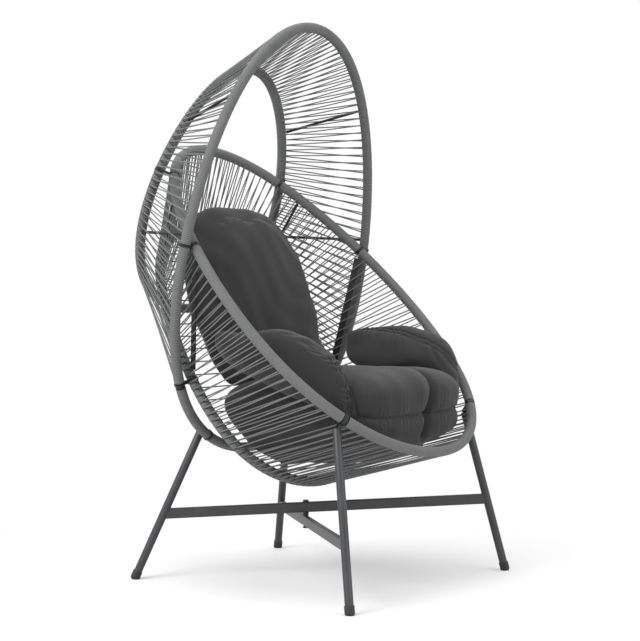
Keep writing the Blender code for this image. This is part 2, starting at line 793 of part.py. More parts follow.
def bar_ends(rear_sign, rear_height):
    """Where a diagonal bar meets its rear leg and the front leg on the other side."""
    rear_foot, rear_top = leg_line("rear", rear_sign)
    front_foot, front_top = leg_line("front", -rear_sign)
    front_height = rear_height + BAR_SLOPE_RISE
    rear = rear_foot.lerp(rear_top, rear_height / rear_top.z)
    front = front_foot.lerp(front_top, front_height / front_top.z)
    return rear, front


def make_stretchers(steel, black):
    """The two diagonal bars with the spacer and bolt where they cross."""
    lower_height = UPPER_BAR_REAR_HEIGHT - BAR_HEIGHT - BAR_CROSSING_SPACE
    rear, front = bar_ends(-1, UPPER_BAR_REAR_HEIGHT)
    share = rear.x / (rear.x - front.x)
    crossing = rear.lerp(front, share)
    hint = Vector((0.0, 0.0, 1.0))
    for name, rear_sign, height in (
        ("upper_stretcher", -1, UPPER_BAR_REAR_HEIGHT), ("lower_stretcher", 1, lower_height),
    ):
        start, end = bar_ends(rear_sign, height)
        bar = straight_object(name, start, end, plate(BAR_HEIGHT, BAR_THICKNESS), steel, hint)
        for leg_end, sign in (("rear", rear_sign), ("front", -rear_sign)):
            foot, top = leg_line(leg_end, sign)
            cutter = straight_object("leg_cutter", foot, top, disc(LEG_RADIUS + GAP, LEG_SIDES),
                                     steel, (1.0, 0.0, 0.0))
            apply_boolean(bar, cutter, "DIFFERENCE")
        reach = Vector((0.0, 0.0, 2 * BAR_HEIGHT))
        cutter = straight_object("bolt_cutter", crossing - 2 * reach, crossing + reach,
                                 disc(CROSS_BOLT_RADIUS + GAP, 8), steel, (1.0, 0.0, 0.0))
        apply_boolean(bar, cutter, "DIFFERENCE")
    low_rear, low_front = bar_ends(1, lower_height)
    low_crossing = low_rear.lerp(low_front, share)
    up = Vector((0.0, 0.0, 1.0))
    tilt_room = SPACER_RADIUS * BAR_SLOPE_RISE / (rear - front).length
    upper_under = crossing.z - BAR_HEIGHT / 2
    lower_over = low_crossing.z + BAR_HEIGHT / 2
    here = Vector((crossing.x, crossing.y, 0.0))
    spacer = straight_object("crossing_spacer", here + up * (lower_over + tilt_room + GAP),
                             here + up * (upper_under - tilt_room - GAP), disc(SPACER_RADIUS, 12),
                             black, (1.0, 0.0, 0.0), 50)
    bore = straight_object("bore", here, here + up, disc(CROSS_BOLT_RADIUS + GAP, 8), black, (1.0, 0.0, 0.0))
    apply_boolean(spacer, bore, "DIFFERENCE")
    head_seat = crossing.z + BAR_HEIGHT / 2 + tilt_room + GAP
    nut_seat = low_crossing.z - BAR_HEIGHT / 2 - tilt_room - GAP
    bolt = straight_object("crossing_bolt", here + up * head_seat,
                           here + up * (head_seat + CROSS_HEAD_HEIGHT), disc(CROSS_HEAD_RADIUS, 12),
                           black, (1.0, 0.0, 0.0), 50)
    shank = straight_object("shank", here + up * (nut_seat - CROSS_HEAD_HEIGHT),
                            here + up * (head_seat + 0.5 * CROSS_HEAD_HEIGHT),
                            disc(CROSS_BOLT_RADIUS, 8), black, (1.0, 0.0, 0.0))
    apply_boolean(bolt, shank, "UNION")
    nut = straight_object("crossing_nut", here + up * (nut_seat - CROSS_HEAD_HEIGHT), here + up * nut_seat,
                          disc(CROSS_HEAD_RADIUS, 6), black, (1.0, 0.0, 0.0))
    bore = straight_object("bore", here, here + up, disc(CROSS_BOLT_RADIUS + GAP, 8), black, (1.0, 0.0, 0.0))
    apply_boolean(nut, bore, "DIFFERENCE")


# Cushions


@dataclass(frozen=True)
class Pillow:
    """A stuffed pad: a rounded outline with pulled-in sides and a crown on both faces.

    The length and width axes lie in the pad's middle plane; half sizes are along length, width
    and thickness. Channels are seams sewn square to the width that part the pad into lobes,
    and the front seam runs across the pad's leading edge.
    """

    centre: tuple
    length_axis: tuple
    width_axis: tuple
    half_sizes: tuple
    corner: float = 2.8
    crown: float = 2.3
    pull_in: float = 0.05
    channels: tuple = ()
    channel_half_width: float = 0.022
    channel_depth: float = 0.20
    front_seam: float = 0.0
    around: int = 24
    layers: int = 12

    def stations(self):
        """Places across the width, as shares of its half, with one on each channel's seam."""
        level = np.pi * (np.arange(1, self.layers) / self.layers - 0.5)
        seams = np.array(self.channels) / self.half_sizes[1]
        flank = self.channel_half_width / self.half_sizes[1]
        near_seam = np.abs(np.sin(level)[:, None] - seams).min(axis=1, initial=1.0) < SEAM_CLEAR * flank
        shoulders = [seams + step * flank for step in (-1, 0, 1)]
        return np.sort(np.concatenate([np.sin(level)[~near_seam], *shoulders]))

    def rings(self):
        """Points in rings across the width, from one end to the other, without the ends."""
        turn = 2 * np.pi * np.arange(self.around) / self.around
        turn, share = np.meshgrid(turn, self.stations())
        half_length, half_width, half_thickness = self.half_sizes
        outline = (1 - np.abs(share) ** self.corner) ** (1 / self.corner)
        swell = (1 - np.abs(share) ** self.crown) ** (1 / self.crown)
        front = signed_power(np.cos(turn), 2 / self.crown)
        over = signed_power(np.sin(turn), 2 / self.crown)
        along = half_length * outline * front * (1 - self.pull_in * (1 - share**2))
        across = half_width * share * (1 - self.pull_in * (1 - front**2))
        depth = half_thickness * swell * over
        seam = np.exp(-((over / FRONT_SEAM_WIDTH) ** 2)) * (front > 0)
        along = along * (1 - self.front_seam * seam)
        for place in self.channels:
            offset = (share * half_width - place) / self.channel_half_width
            dip = self.channel_depth * np.exp(-(offset**2))
            depth = depth * (1 - dip)
            along = along * (1 - CHANNEL_EDGE_SHARE * dip * (along > 0))
        return self.place(along, across, depth)

    def place(self, along, across, depth):
        """World points from amounts along the pad's own axes."""
        length_axis = np.array(self.length_axis) / np.linalg.norm(self.length_axis)
        width_axis = np.array(self.width_axis) / np.linalg.norm(self.width_axis)
        face_axis = np.cross(length_axis, width_axis)
        parts = (along[..., None] * length_axis, across[..., None] * width_axis,
                 depth[..., None] * face_axis)
        return np.array(self.centre) + sum(parts)

    def poles(self):
        """The tips at the two ends of the width."""
        half = self.half_sizes[1]
        return self.place(np.zeros(2), np.array([-half, half]), np.zeros(2))


def signed_power(values, power):
    """A power that keeps the sign."""
    return np.sign(values) * np.abs(values) ** power


def shell_room():
    """A search tree of the inner face of the seat shell, open space for the cushions."""
    inset = WRAP_RADIUS + GAP
    low = base_frames.centre - base_frames.outward * inset
    high = seat_frames.centre - seat_frames.outward * inset
    beyond_seat = high - seat_frames.toward * WALL_EXTENSION
    count = len(high)
    middle = low.mean(axis=0) - np.array(BASE_RING.normal()) * WEB_ROOM
    points = [Vector(point) for point in np.concatenate([low, high, beyond_seat, [middle]])]
    faces = []
    for i in range(count):
        j = (i + 1) % count
        faces.append((i, j, count + j, count + i))
        faces.append((count + i, count + j, 2 * count + j, 2 * count + i))
        faces.append((i, j, 3 * count))
    return BVHTree.FromPolygons(points, faces)


def limit_to(points, centre, room):
    """Draws points back towards a centre where the room's wall comes first."""
    centre = Vector(centre)
    held = []
    for point in points:
        ray = Vector(point) - centre
        length = ray.length
        hit = room.ray_cast(centre, ray.normalized(), length + CUSHION_TO_SHELL)
        if hit[0] is not None:
            length = min(length, hit[3] - CUSHION_TO_SHELL)
        held.append(centre + ray.normalized() * length)
    return held


def make_pillow(name, pillow, room, neighbours, material):
    """One cushion, held inside its room and pressed in where it meets its neighbours."""
    mesh_edit = bmesh.new()
    loops = [add_loop(mesh_edit, limit_to(ring, pillow.centre, room)) for ring in pillow.rings()]
    for first, second in zip(loops[:-1], loops[1:]):
        skin_between(mesh_edit, first, second)
    poles = limit_to(pillow.poles(), pillow.centre, room)
    for pole, loop in ((poles[0], loops[0]), (poles[1], loops[-1])):
        tip = mesh_edit.verts.new(pole)
        for i in range(len(loop)):
            mesh_edit.faces.new((loop[i], loop[(i + 1) % len(loop)], tip))
    bmesh.ops.triangulate(mesh_edit, faces=mesh_edit.faces[:])
    cushion = finish_object(name, mesh_edit, material, 70)
    for neighbour in neighbours:
        apply_boolean(cushion, swollen_copy(neighbour, CUSHION_TO_CUSHION), "DIFFERENCE")
    return cushion


def swollen_copy(item, amount):
    """A copy of an object whose surface stands out by a small amount."""
    mesh_edit = bmesh.new()
    mesh_edit.from_mesh(item.data)
    mesh_edit.normal_update()
    moves = [(corner, corner.normal * amount) for corner in mesh_edit.verts]
    for corner, move in moves:
        corner.co += move
    return finish_object("swollen", mesh_edit, item.data.materials[0])


SEAT_CUSHION = Pillow(
    centre=(0.0, -0.100, 0.440), length_axis=(0.0, -1.0, 0.10), width_axis=(1.0, 0.0, 0.0),
    half_sizes=(0.300, 0.290, 0.135), crown=3.0, channels=(-0.095, 0.095), front_seam=0.05,
    around=32, layers=14,
)
BACK_CUSHION = Pillow(
    centre=(0.0, 0.193, 0.756), length_axis=(0.0, 0.329, 0.944), width_axis=(1.0, 0.0, 0.0),
    half_sizes=(0.280, 0.275, 0.076), around=28, layers=14,
)
WING_HALF_SIZES = (0.225, 0.125, 0.075)
WING_CENTRE = (0.275, -0.125, 0.585)
WING_LENGTH_AXIS = (0.0, -0.93, -0.36)
WING_WIDTH_AXIS = (0.45, 0.30, 0.80)


def make_cushions(fabric):
    """The seat, side and back cushions inside the seat shell."""
    room = shell_room()
    seat = make_pillow("seat_cushion", SEAT_CUSHION, room, [], fabric)
    below = [seat]
    for side, sign in SIDES:
        wing = Pillow(
            centre=(sign * WING_CENTRE[0], *WING_CENTRE[1:]),
            length_axis=WING_LENGTH_AXIS,
            width_axis=(sign * WING_WIDTH_AXIS[0], *WING_WIDTH_AXIS[1:]),
            half_sizes=WING_HALF_SIZES,
        )
        below.append(make_pillow(f"wing_cushion_{side}", wing, room, [seat], fabric))
    make_pillow("back_cushion", BACK_CUSHION, room, below, fabric)


remove_scene_objects()
BLACK = make_material("black_steel", (0.012, 0.012, 0.013), 0.5, 0.6)
STEEL = make_material("powder_coated_steel", (0.045, 0.047, 0.05), 0.45, 0.6)
ROPE = make_material("grey_rope", (0.16, 0.165, 0.165), 0.7, 0.0)
FABRIC = make_material("charcoal_fabric", (0.043, 0.041, 0.043), 0.9, 0.0)
PLASTIC = make_material("black_plastic", (0.01, 0.01, 0.01), 0.6, 0.0)

make_steel_hoops(STEEL)
make_hood_rope(ROPE)
make_lower_wrap(ROPE)
make_seat_rope(ROPE)
make_lashings(BLACK)
make_spreaders(BLACK)
make_legs(STEEL, BLACK, PLASTIC)
make_stretchers(STEEL, BLACK)
make_cushions(FABRIC)
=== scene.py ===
"""Egg lounge chair: the rope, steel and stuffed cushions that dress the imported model.

Metres, +Z up; the sitter faces -Y and +X is the sitter's left.
"""

import json
import logging
import math
from dataclasses import dataclass, field
from enum import Enum

import bmesh
import bpy
import numpy as np
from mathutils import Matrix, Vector
from mathutils.bvhtree import BVHTree

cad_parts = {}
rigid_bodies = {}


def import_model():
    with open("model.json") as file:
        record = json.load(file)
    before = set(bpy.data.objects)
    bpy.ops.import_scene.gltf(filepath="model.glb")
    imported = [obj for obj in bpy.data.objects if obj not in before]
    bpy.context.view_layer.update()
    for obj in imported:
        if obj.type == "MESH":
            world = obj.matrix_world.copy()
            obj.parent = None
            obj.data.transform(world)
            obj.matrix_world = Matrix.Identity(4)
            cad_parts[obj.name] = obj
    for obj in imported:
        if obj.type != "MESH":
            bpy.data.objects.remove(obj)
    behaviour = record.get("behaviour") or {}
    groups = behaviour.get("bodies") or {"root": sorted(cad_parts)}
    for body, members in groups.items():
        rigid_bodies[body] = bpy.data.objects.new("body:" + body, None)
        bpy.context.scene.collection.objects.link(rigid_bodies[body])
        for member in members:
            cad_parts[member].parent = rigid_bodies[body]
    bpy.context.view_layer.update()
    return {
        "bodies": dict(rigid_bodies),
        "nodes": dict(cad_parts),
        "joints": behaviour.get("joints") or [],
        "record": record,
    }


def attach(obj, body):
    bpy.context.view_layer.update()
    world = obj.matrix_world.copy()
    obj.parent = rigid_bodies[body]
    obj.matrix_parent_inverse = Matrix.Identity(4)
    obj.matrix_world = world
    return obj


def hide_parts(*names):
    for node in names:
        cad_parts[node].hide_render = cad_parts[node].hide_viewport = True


LOG = logging.getLogger("egg_chair")

GAP = 0.0003
ROPE_WIDTH = 0.0035
WINDING_RADIUS = 0.0134
LEG_RADIUS = 0.011
SIDES = {"left": 1, "right": -1}

Colour = tuple[float, float, float]


class Side(Enum):
    """Which way a hoop's section turns, so that its outer side stays outside."""

    FRONT = 1
    BACK = -1


class Layer(Enum):
    """Which face of a shell's wall a strand lies on."""

    OUTER = 1
    INNER = -1


# Materials


class NodeSheet:
    """A material's node tree with short calls for adding and joining nodes."""

    def __init__(self, name: str) -> None:
        """Starts a material that holds only a Principled shader.

        Args:
            name: The material's name.
        """
        self.material = bpy.data.materials.new(name)
        self.material.use_nodes = True
        self.tree = self.material.node_tree
        self.shader = self.tree.nodes["Principled BSDF"]

    def add(self, kind: str, inputs: dict | None = None, **settings: object) -> bpy.types.Node:
        """Adds a node.

        Args:
            kind: The node's class name.
            inputs: Values or sockets for its inputs, by name or index.
            **settings: The node's own settings.

        Returns:
            The new node.
        """
        node = self.tree.nodes.new(kind)
        for key, value in settings.items():
            setattr(node, key, value)
        for key, value in (inputs or {}).items():
            if isinstance(value, bpy.types.NodeSocket):
                self.tree.links.new(value, node.inputs[key])
            else:
                node.inputs[key].default_value = value
        return node

    def math(self, operation: str, first: object, second: object = 0.0) -> bpy.types.NodeSocket:
        """One sum on two numbers or sockets.

        Args:
            operation: The Math node's operation.
            first: The first number or socket.
            second: The second number or socket.

        Returns:
            The result's socket.
        """
        return self.add("ShaderNodeMath", {0: first, 1: second}, operation=operation).outputs[0]

    def blend(self, share: object, first: Colour, second: Colour) -> bpy.types.NodeSocket:
        """A colour between two colours.

        Args:
            share: The share of the second colour.
            first: The colour at 0.
            second: The colour at 1.

        Returns:
            The colour's socket.
        """
        inputs = {0: share, 6: (*first, 1.0), 7: (*second, 1.0)}
        return self.add("ShaderNodeMix", inputs, data_type="RGBA").outputs[2]

    def noise(self, place: object, scale: float, detail: float = 3.0) -> bpy.types.NodeSocket:
        """Cloudy noise from 0 to 1.

        Args:
            place: The coordinate's socket.
            scale: Lumps in a metre.
            detail: Octaves.

        Returns:
            The value's socket.
        """
        inputs = {"Vector": place, "Scale": scale, "Detail": detail}
        return self.add("ShaderNodeTexNoise", inputs).outputs["Fac"]

    def join(self, source: object, name: str) -> None:
        """Joins a socket to one of the shader's inputs.

        Args:
            source: The socket.
            name: The input's name.
        """
        self.tree.links.new(source, self.shader.inputs[name])

    def bump(self, height: object, distance: float, strength: float = 1.0) -> None:
        """Gives the shader a relief.

        Args:
            height: The relief's socket, from 0 to 1.
            distance: The relief's depth in metres.
            strength: How much of it shows.
        """
        inputs = {"Height": height, "Distance": distance, "Strength": strength}
        self.join(self.add("ShaderNodeBump", inputs).outputs[0], "Normal")

    def object_place(self) -> bpy.types.NodeSocket:
        """The coordinate in metres in the chair's frame."""
        return self.add("ShaderNodeTexCoord").outputs["Object"]


@dataclass(frozen=True)
class RopeFinish:
    """Grey outdoor rope: braided strands, or turns wound side by side round a tube."""

    name: str
    lit: Colour = (0.205, 0.208, 0.208)
    # Painted shade: the colour in the valleys between turns and braid ridges.
    groove_shade: Colour = (0.034, 0.035, 0.036)
    roughness: float = 0.72
    wound: bool = True
    rib_pitch: float = 0.00435
    # Near-black colour of the gaps between strand pairs: the dark tube there, darkened further as painted
    # shade.
    tube: Colour = (0.012, 0.012, 0.013)

    def material(self) -> bpy.types.Material:
        """The rope's material.

        The UV map holds metres along the piece and the share of a turn round it. Wound rope has a
        ridge where the sum of turns along and round is whole, and each ridge has the braid's slant.
        The colour is painted shade in the valleys between ridges and the lit colour on top of them.

        Returns:
            The material.
        """
        sheet = NodeSheet(self.name)
        uv = sheet.add("ShaderNodeUVMap", uv_map="UVMap").outputs[0]
        parts = sheet.add("ShaderNodeSeparateXYZ", {0: uv})
        along = parts.outputs[0]
        turn = parts.outputs[1]
        turns = sheet.math("DIVIDE", along, self.rib_pitch if self.wound else ROPE_WIDTH)
        if self.wound:
            phase = sheet.math("ADD", turns, turn)
            braid_phase = sheet.math("ADD", sheet.math("MULTIPLY", turn, 26.0), turns)
        else:
            lengthwise = sheet.math("MULTIPLY", turns, 0.6)
            round_about = sheet.math("MULTIPLY", turn, 2.0)
            phase = sheet.math("ADD", lengthwise, round_about)
            braid_phase = sheet.math("SUBTRACT", lengthwise, round_about)
        ridge = sheet.math("ABSOLUTE", sheet.math("SINE", sheet.math("MULTIPLY", phase, math.pi)))
        braid = sheet.math("ABSOLUTE", sheet.math("SINE", sheet.math("MULTIPLY", braid_phase, math.pi)))
        braid_share = sheet.math("MULTIPLY", braid, 0.25)
        height = sheet.math("ADD", sheet.math("MULTIPLY", ridge, 0.75), braid_share)
        cloud = sheet.noise(sheet.object_place(), 24.0)
        mottle = sheet.math("SUBTRACT", sheet.math("MULTIPLY", cloud, 0.25), 0.08 if self.wound else 0.0)
        tone = sheet.math("ADD", height, mottle)
        # Painted shade: the colour darkens from the lit colour to the valley colour where the relief is low.
        rope = sheet.blend(tone, self.groove_shade, self.lit)
        if self.wound:
            # Painted shade: where the attribute read here is low, in the gaps between strand pairs, the rope
            # turns to the near-black tube colour.
            rope_vs_gap_shade = sheet.add("ShaderNodeAttribute", attribute_name="rope_vs_gap_shade").outputs["Fac"]
            inputs = {0: rope_vs_gap_shade, 6: (*self.tube, 1.0), 7: rope}
            rope = sheet.add("ShaderNodeMix", inputs, data_type="RGBA").outputs[2]
        sheet.join(rope, "Base Color")
        sheet.bump(height, 0.0015 if self.wound else 0.0003)
        sheet.shader.inputs["Roughness"].default_value = self.roughness
        return sheet.material


@dataclass(frozen=True)
class CoatFinish:
    """Painted steel or moulded plastic with a fine orange peel and rubbed patches."""

    name: str
    colour: Colour
    rubbed: Colour
    roughness: float
    metallic: float
    grain: float = 900.0
    depth: float = 0.00008

    def material(self) -> bpy.types.Material:
        """The coat's material: a base colour with cloudy wear and a fine bumpy skin.

        Returns:
            The material.
        """
        sheet = NodeSheet(self.name)
        place = sheet.object_place()
        peel = sheet.noise(place, self.grain, 2.0)
        cloud = sheet.noise(place, 16.0, 4.0)
        wear = sheet.math("MULTIPLY", sheet.math("POWER", cloud, 3.0), 1.4)
        sheet.join(sheet.blend(wear, self.colour, self.rubbed), "Base Color")
        rough = sheet.math("ADD", self.roughness - 0.06, sheet.math("MULTIPLY", cloud, 0.12))
        sheet.join(rough, "Roughness")
        sheet.bump(peel, self.depth, 0.6)
        sheet.shader.inputs["Metallic"].default_value = self.metallic
        return sheet.material


@dataclass(frozen=True)
class ClothFinish:
    """Charcoal woven cloth: crossed threads, slubs and a soft sheen."""

    name: str
    colour: Colour = (0.031, 0.029, 0.030)
    shade: Colour = (0.013, 0.012, 0.013)
    thread: float = 0.0013

    def material(self) -> bpy.types.Material:
        """The cloth's material: two thread waves on slanted planes make the weave's relief.

        Returns:
            The material.
        """
        sheet = NodeSheet(self.name)
        place = sheet.object_place()
        parts = sheet.add("ShaderNodeSeparateXYZ", {0: place})
        x, y, z = parts.outputs
        warp = sheet.math("ADD", x, sheet.math("MULTIPLY", y, 0.6))
        weft = sheet.math("SUBTRACT", z, sheet.math("MULTIPLY", y, 0.8))
        pitch = math.pi / self.thread
        over = sheet.math("ABSOLUTE", sheet.math("SINE", sheet.math("MULTIPLY", warp, pitch)))
        under = sheet.math("ABSOLUTE", sheet.math("SINE", sheet.math("MULTIPLY", weft, pitch)))
        weave = sheet.math("MULTIPLY", sheet.math("ADD", over, under), 0.5)
        slub = sheet.noise(place, 420.0, 2.0)
        cloud = sheet.noise(place, 9.0, 4.0)
        height = sheet.math("ADD", sheet.math("MULTIPLY", weave, 0.7), sheet.math("MULTIPLY", slub, 0.3))
        tone = sheet.math("ADD", sheet.math("MULTIPLY", height, 0.5), sheet.math("MULTIPLY", cloud, 0.6))
        sheet.join(sheet.blend(tone, self.shade, self.colour), "Base Color")
        sheet.bump(height, 0.0005, 0.8)
        sheet.shader.inputs["Roughness"].default_value = 0.95
        sheet.shader.inputs["Sheen Weight"].default_value = 0.15
        sheet.shader.inputs["Sheen Roughness"].default_value = 0.5
        return sheet.material


# Mesh making


def ring_axes(direction: np.ndarray, hint: np.ndarray) -> tuple[np.ndarray, np.ndarray]:
    """Two unit axes square to each direction, the first nearest to a hint.

    Args:
        direction: Unit directions, shape (..., 3).
        hint: Hint vectors that broadcast to the directions.

    Returns:
        The first and the second axis.
    """
    first = hint - (hint * direction).sum(-1, keepdims=True) * direction
    first = first / np.linalg.norm(first, axis=-1, keepdims=True)
    return first, np.cross(direction, first)


def tube_piece(name: str, rings: np.ndarray, along: np.ndarray, closed: bool = False,
               smooth: bool = True) -> bpy.types.Object:
    """Skins one or more tubes into one mesh with a UV map of metres along and share of a turn.

    Quad (t, r, s) joins corners s and s + 1 of rings r and r + 1 of tube t; an open tube's ends are
    closed with one face each.

    Args:
        name: The piece's name.
        rings: Corners, shape (tubes, rings, sides, 3).
        along: Metres along each tube at each ring, shape (tubes, rings).
        closed: Whether the last ring joins the first.
        smooth: Whether the walls are shaded smooth.

    Returns:
        The new object.
    """
    tubes, count, sides = rings.shape[:3]
    spans = count if closed else count - 1
    tube, span, side = np.meshgrid(np.arange(tubes), np.arange(spans), np.arange(sides), indexing="ij")
    next_span = (span + 1) % count
    next_side = (side + 1) % sides

    def index(ring: np.ndarray, corner: np.ndarray) -> np.ndarray:
        """A corner's number: tubes, then rings, then corners."""
        return (tube * count + ring) * sides + corner

    quads = np.stack([index(span, side), index(span, next_side), index(next_span, next_side),
                      index(next_span, side)], axis=-1).reshape(-1, 4)
    step = along[:, 1] - along[:, 0]
    far = np.where(next_span == 0, along[tube, count - 1] + step[tube], along[tube, next_span])
    near = along[tube, span]
    u = np.stack([near, near, far, far], axis=-1)
    v = np.stack([side, side + 1, side + 1, side], axis=-1) / sides
    uv = np.stack([u, v], axis=-1).reshape(-1, 2)
    faces = quads.tolist()
    if not closed:
        first = np.arange(sides)[None] + (np.arange(tubes) * count * sides)[:, None]
        last = first + (count - 1) * sides
        caps = np.concatenate([first[:, ::-1], last])
        faces += caps.tolist()
        uv = np.concatenate([uv, np.zeros((caps.size, 2))])
    mesh = bpy.data.meshes.new(name)
    mesh.from_pydata(rings.reshape(-1, 3).tolist(), [], faces)
    mesh.uv_layers.new(name="UVMap").data.foreach_set("uv", uv.astype(np.float32).ravel())
    mesh.shade_smooth() if smooth else mesh.shade_flat()
    mesh.set_sharp_from_angle(angle=math.radians(50))
    recalculate_normals(mesh)
    item = bpy.data.objects.new(name, mesh)
    bpy.context.scene.collection.objects.link(item)
    return item


def recalculate_normals(mesh: bpy.types.Mesh) -> None:
    """Turns a mesh's faces outwards.

    Args:
        mesh: The mesh to mend.
    """
    edit = bmesh.new()
    edit.from_mesh(mesh)
    bmesh.ops.recalc_face_normals(edit, faces=edit.faces[:])
    edit.to_mesh(mesh)
    edit.free()


def straight_tubes(name: str, starts: np.ndarray, ends: np.ndarray, radius: float, sides: int = 6,
                   count: int = 3, sag: float = 0.0) -> bpy.types.Object:
    """Many thin straight tubes as one mesh.

    A ring's centre is start + s * (end - start), lowered by sag * 4 s (1 - s), and its corners lie
    a radius away.

    Args:
        name: The piece's name.
        starts: Start points, shape (tubes, 3).
        ends: End points, shape (tubes, 3).
        radius: The tubes' radius.
        sides: Sides of each tube.
        count: Rings of each tube.
        sag: How far the middle hangs.

    Returns:
        The new object.
    """
    share = np.linspace(0.0, 1.0, count)
    centre = starts[:, None] + share[None, :, None] * (ends - starts)[:, None]
    centre[..., 2] -= sag * 4 * share * (1 - share)
    length = np.linalg.norm(ends - starts, axis=-1)
    direction = ((ends - starts) / length[:, None])[:, None]
    first, second = ring_axes(direction, np.array([0.13, 0.21, 0.97]))
    turn = 2 * np.pi * np.arange(sides) / sides
    turn = turn[None, None, :, None]
    offset = np.cos(turn) * first[:, :, None] + np.sin(turn) * second[:, :, None]
    rings = centre[:, :, None] + radius * offset
    return tube_piece(name, rings, share[None] * length[:, None])


def turned_bar(name: str, start: Vector, end: Vector, profile: list[tuple[float, float]],
               sides: int = 28) -> bpy.types.Object:
    """A bar turned about a straight axis.

    A ring's centre is start + p * axis and its radius r for each (p, r) of the profile.

    Args:
        name: The piece's name.
        start: Where places along the axis are counted from.
        end: A point that the axis points to.
        profile: Places in metres along the axis with their radii.
        sides: Sides of the bar.

    Returns:
        The new object.
    """
    origin = np.array(start)
    axis = np.array((end - start).normalized())
    place, radius = np.array(profile).T
    first, second = ring_axes(axis, np.array([1.0, 0.17, 0.05]))
    turn = 2 * np.pi * np.arange(sides) / sides
    circle = np.cos(turn)[:, None] * first + np.sin(turn)[:, None] * second
    rings = origin + place[:, None, None] * axis + radius[:, None, None] * circle
    return tube_piece(name, rings[None], place[None])


def swept_bar(name: str, start: Vector, end: Vector, outline: np.ndarray,
              hint: tuple[float, float, float]) -> bpy.types.Object:
    """A straight bar of any outline.

    Args:
        name: The piece's name.
        start: The axis's start.
        end: The axis's end.
        outline: Section points in the plane of the hint and the second axis, shape (sides, 2).
        hint: The direction of the outline's first coordinate.

    Returns:
        The new object.
    """
    points = np.array([start, end], dtype=float)
    length = float(np.linalg.norm(points[1] - points[0]))
    axis = (points[1] - points[0]) / length
    first, second = ring_axes(axis, np.array(hint))
    section = outline[:, :1] * first + outline[:, 1:] * second
    share = np.linspace(0.0, 1.0, 5)
    centre = points[0] + share[:, None] * (points[1] - points[0])
    rings = centre[:, None] + section
    return tube_piece(name, rings[None], share[None] * length)


def rounded_outline(width: float, thickness: float, corner: float, steps: int = 6) -> np.ndarray:
    """A rectangle with round corners: four quarter circles set in from the rectangle's corners.

    Args:
        width: Size along the first axis.
        thickness: Size along the second axis.
        corner: The corners' radius.
        steps: Points on each quarter circle.

    Returns:
        The outline's points, shape (4 * steps, 2).
    """
    turn = np.concatenate([np.linspace(q, q + 0.5, steps) * np.pi for q in (0.0, 0.5, 1.0, 1.5)])
    sign_x = np.repeat([1, -1, -1, 1], steps)
    sign_y = np.repeat([1, 1, -1, -1], steps)
    x = sign_x * (width / 2 - corner) + corner * np.cos(turn)
    y = sign_y * (thickness / 2 - corner) + corner * np.sin(turn)
    return np.stack([x, y], axis=-1)


def dress(item: bpy.types.Object, material: bpy.types.Material, slot: str, *nodes: str) -> None:
    """Gives a new piece its finish, its place on the chair and the nodes that it stands for.

    Args:
        item: The piece.
        material: Its material.
        slot: The record's material slot; not used.
        *nodes: CAD nodes that it replaces.
    """
    item.data.materials.clear()
    item.data.materials.append(material)
    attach(item, "root")
    if nodes:
        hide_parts(*nodes)
    LOG.info("%s: %d faces", item.name, len(item.data.polygons))


# Hoops and shells


@dataclass(frozen=True)
class Hoop:
    """An egg-shaped hoop, alike left and right, in a plane tilted about the X axis."""

    centre_y: float
    centre_z: float
    tilt_deg: float
    half_height: float
    half_width: float
    taper: float
    fullness: float

    def points(self, angle_deg: np.ndarray) -> np.ndarray:
        """Centre-line points.

        x is half_width sin u (1 + taper cos u + fullness cos 2u); the rise half_height cos u lies
        along the tilted plane.

        Args:
            angle_deg: Angles from the top towards +X.

        Returns:
            Points, shape (..., 3).
        """
        angle = np.radians(np.asarray(angle_deg, dtype=float))
        tilt = math.radians(self.tilt_deg)
        rise = self.half_height * np.cos(angle)
        swell = 1 + self.taper * np.cos(angle) + self.fullness * np.cos(2 * angle)
        side = self.half_width * np.sin(angle) * swell
        return np.stack([side, self.centre_y + rise * math.cos(tilt),
                         self.centre_z + rise * math.sin(tilt)], axis=-1)

    def tangents(self, angle_deg: np.ndarray) -> np.ndarray:
        """Unit directions of travel.

        Args:
            angle_deg: Angles from the top towards +X.

        Returns:
            Directions, shape (..., 3).
        """
        chord = self.points(angle_deg + 0.01) - self.points(angle_deg - 0.01)
        return chord / np.linalg.norm(chord, axis=-1, keepdims=True)

    def normal(self) -> np.ndarray:
        """The unit normal of the hoop's plane, towards the rear or the underside."""
        tilt = math.radians(self.tilt_deg)
        return np.array([0.0, math.sin(tilt), -math.cos(tilt)])

    def lengths(self, angle_deg: np.ndarray) -> np.ndarray:
        """Metres along the hoop from the first angle.

        Args:
            angle_deg: Rising angles.

        Returns:
            Lengths, same shape as the angles.
        """
        steps = np.linalg.norm(np.diff(self.points(angle_deg), axis=0), axis=-1)
        return np.concatenate([[0.0], np.cumsum(steps)])


HOOD_FRONT = Hoop(0.0888, 0.9130, 100.93, 0.5835, 0.4255, -0.136, 0.049)
HOOD_BACK = Hoop(0.3114, 1.0579, 109.18, 0.3531, 0.2829, -0.200, 0.018)
SEAT_RING = Hoop(-0.0338, 0.7693, 45.74, 0.5640, 0.4205, -0.138, 0.030)
BASE_RING = Hoop(0.1819, 0.6029, 56.24, 0.4103, 0.3400, -0.148, 0.085)

HOOD_BASE_TIE = 131.4
REAR_LEG_STRAP = 156.3
SEAT_COLLAR = 139.2
COLLAR_GAP = 0.9
NET_INSET = 0.5 * WINDING_RADIUS


def hood_to_back(angle_deg: np.ndarray) -> np.ndarray:
    """Where a strand that leaves the hood's front hoop meets the back hoop, in degrees."""
    return angle_deg * (1.03 + 0.0008 * np.abs(angle_deg))


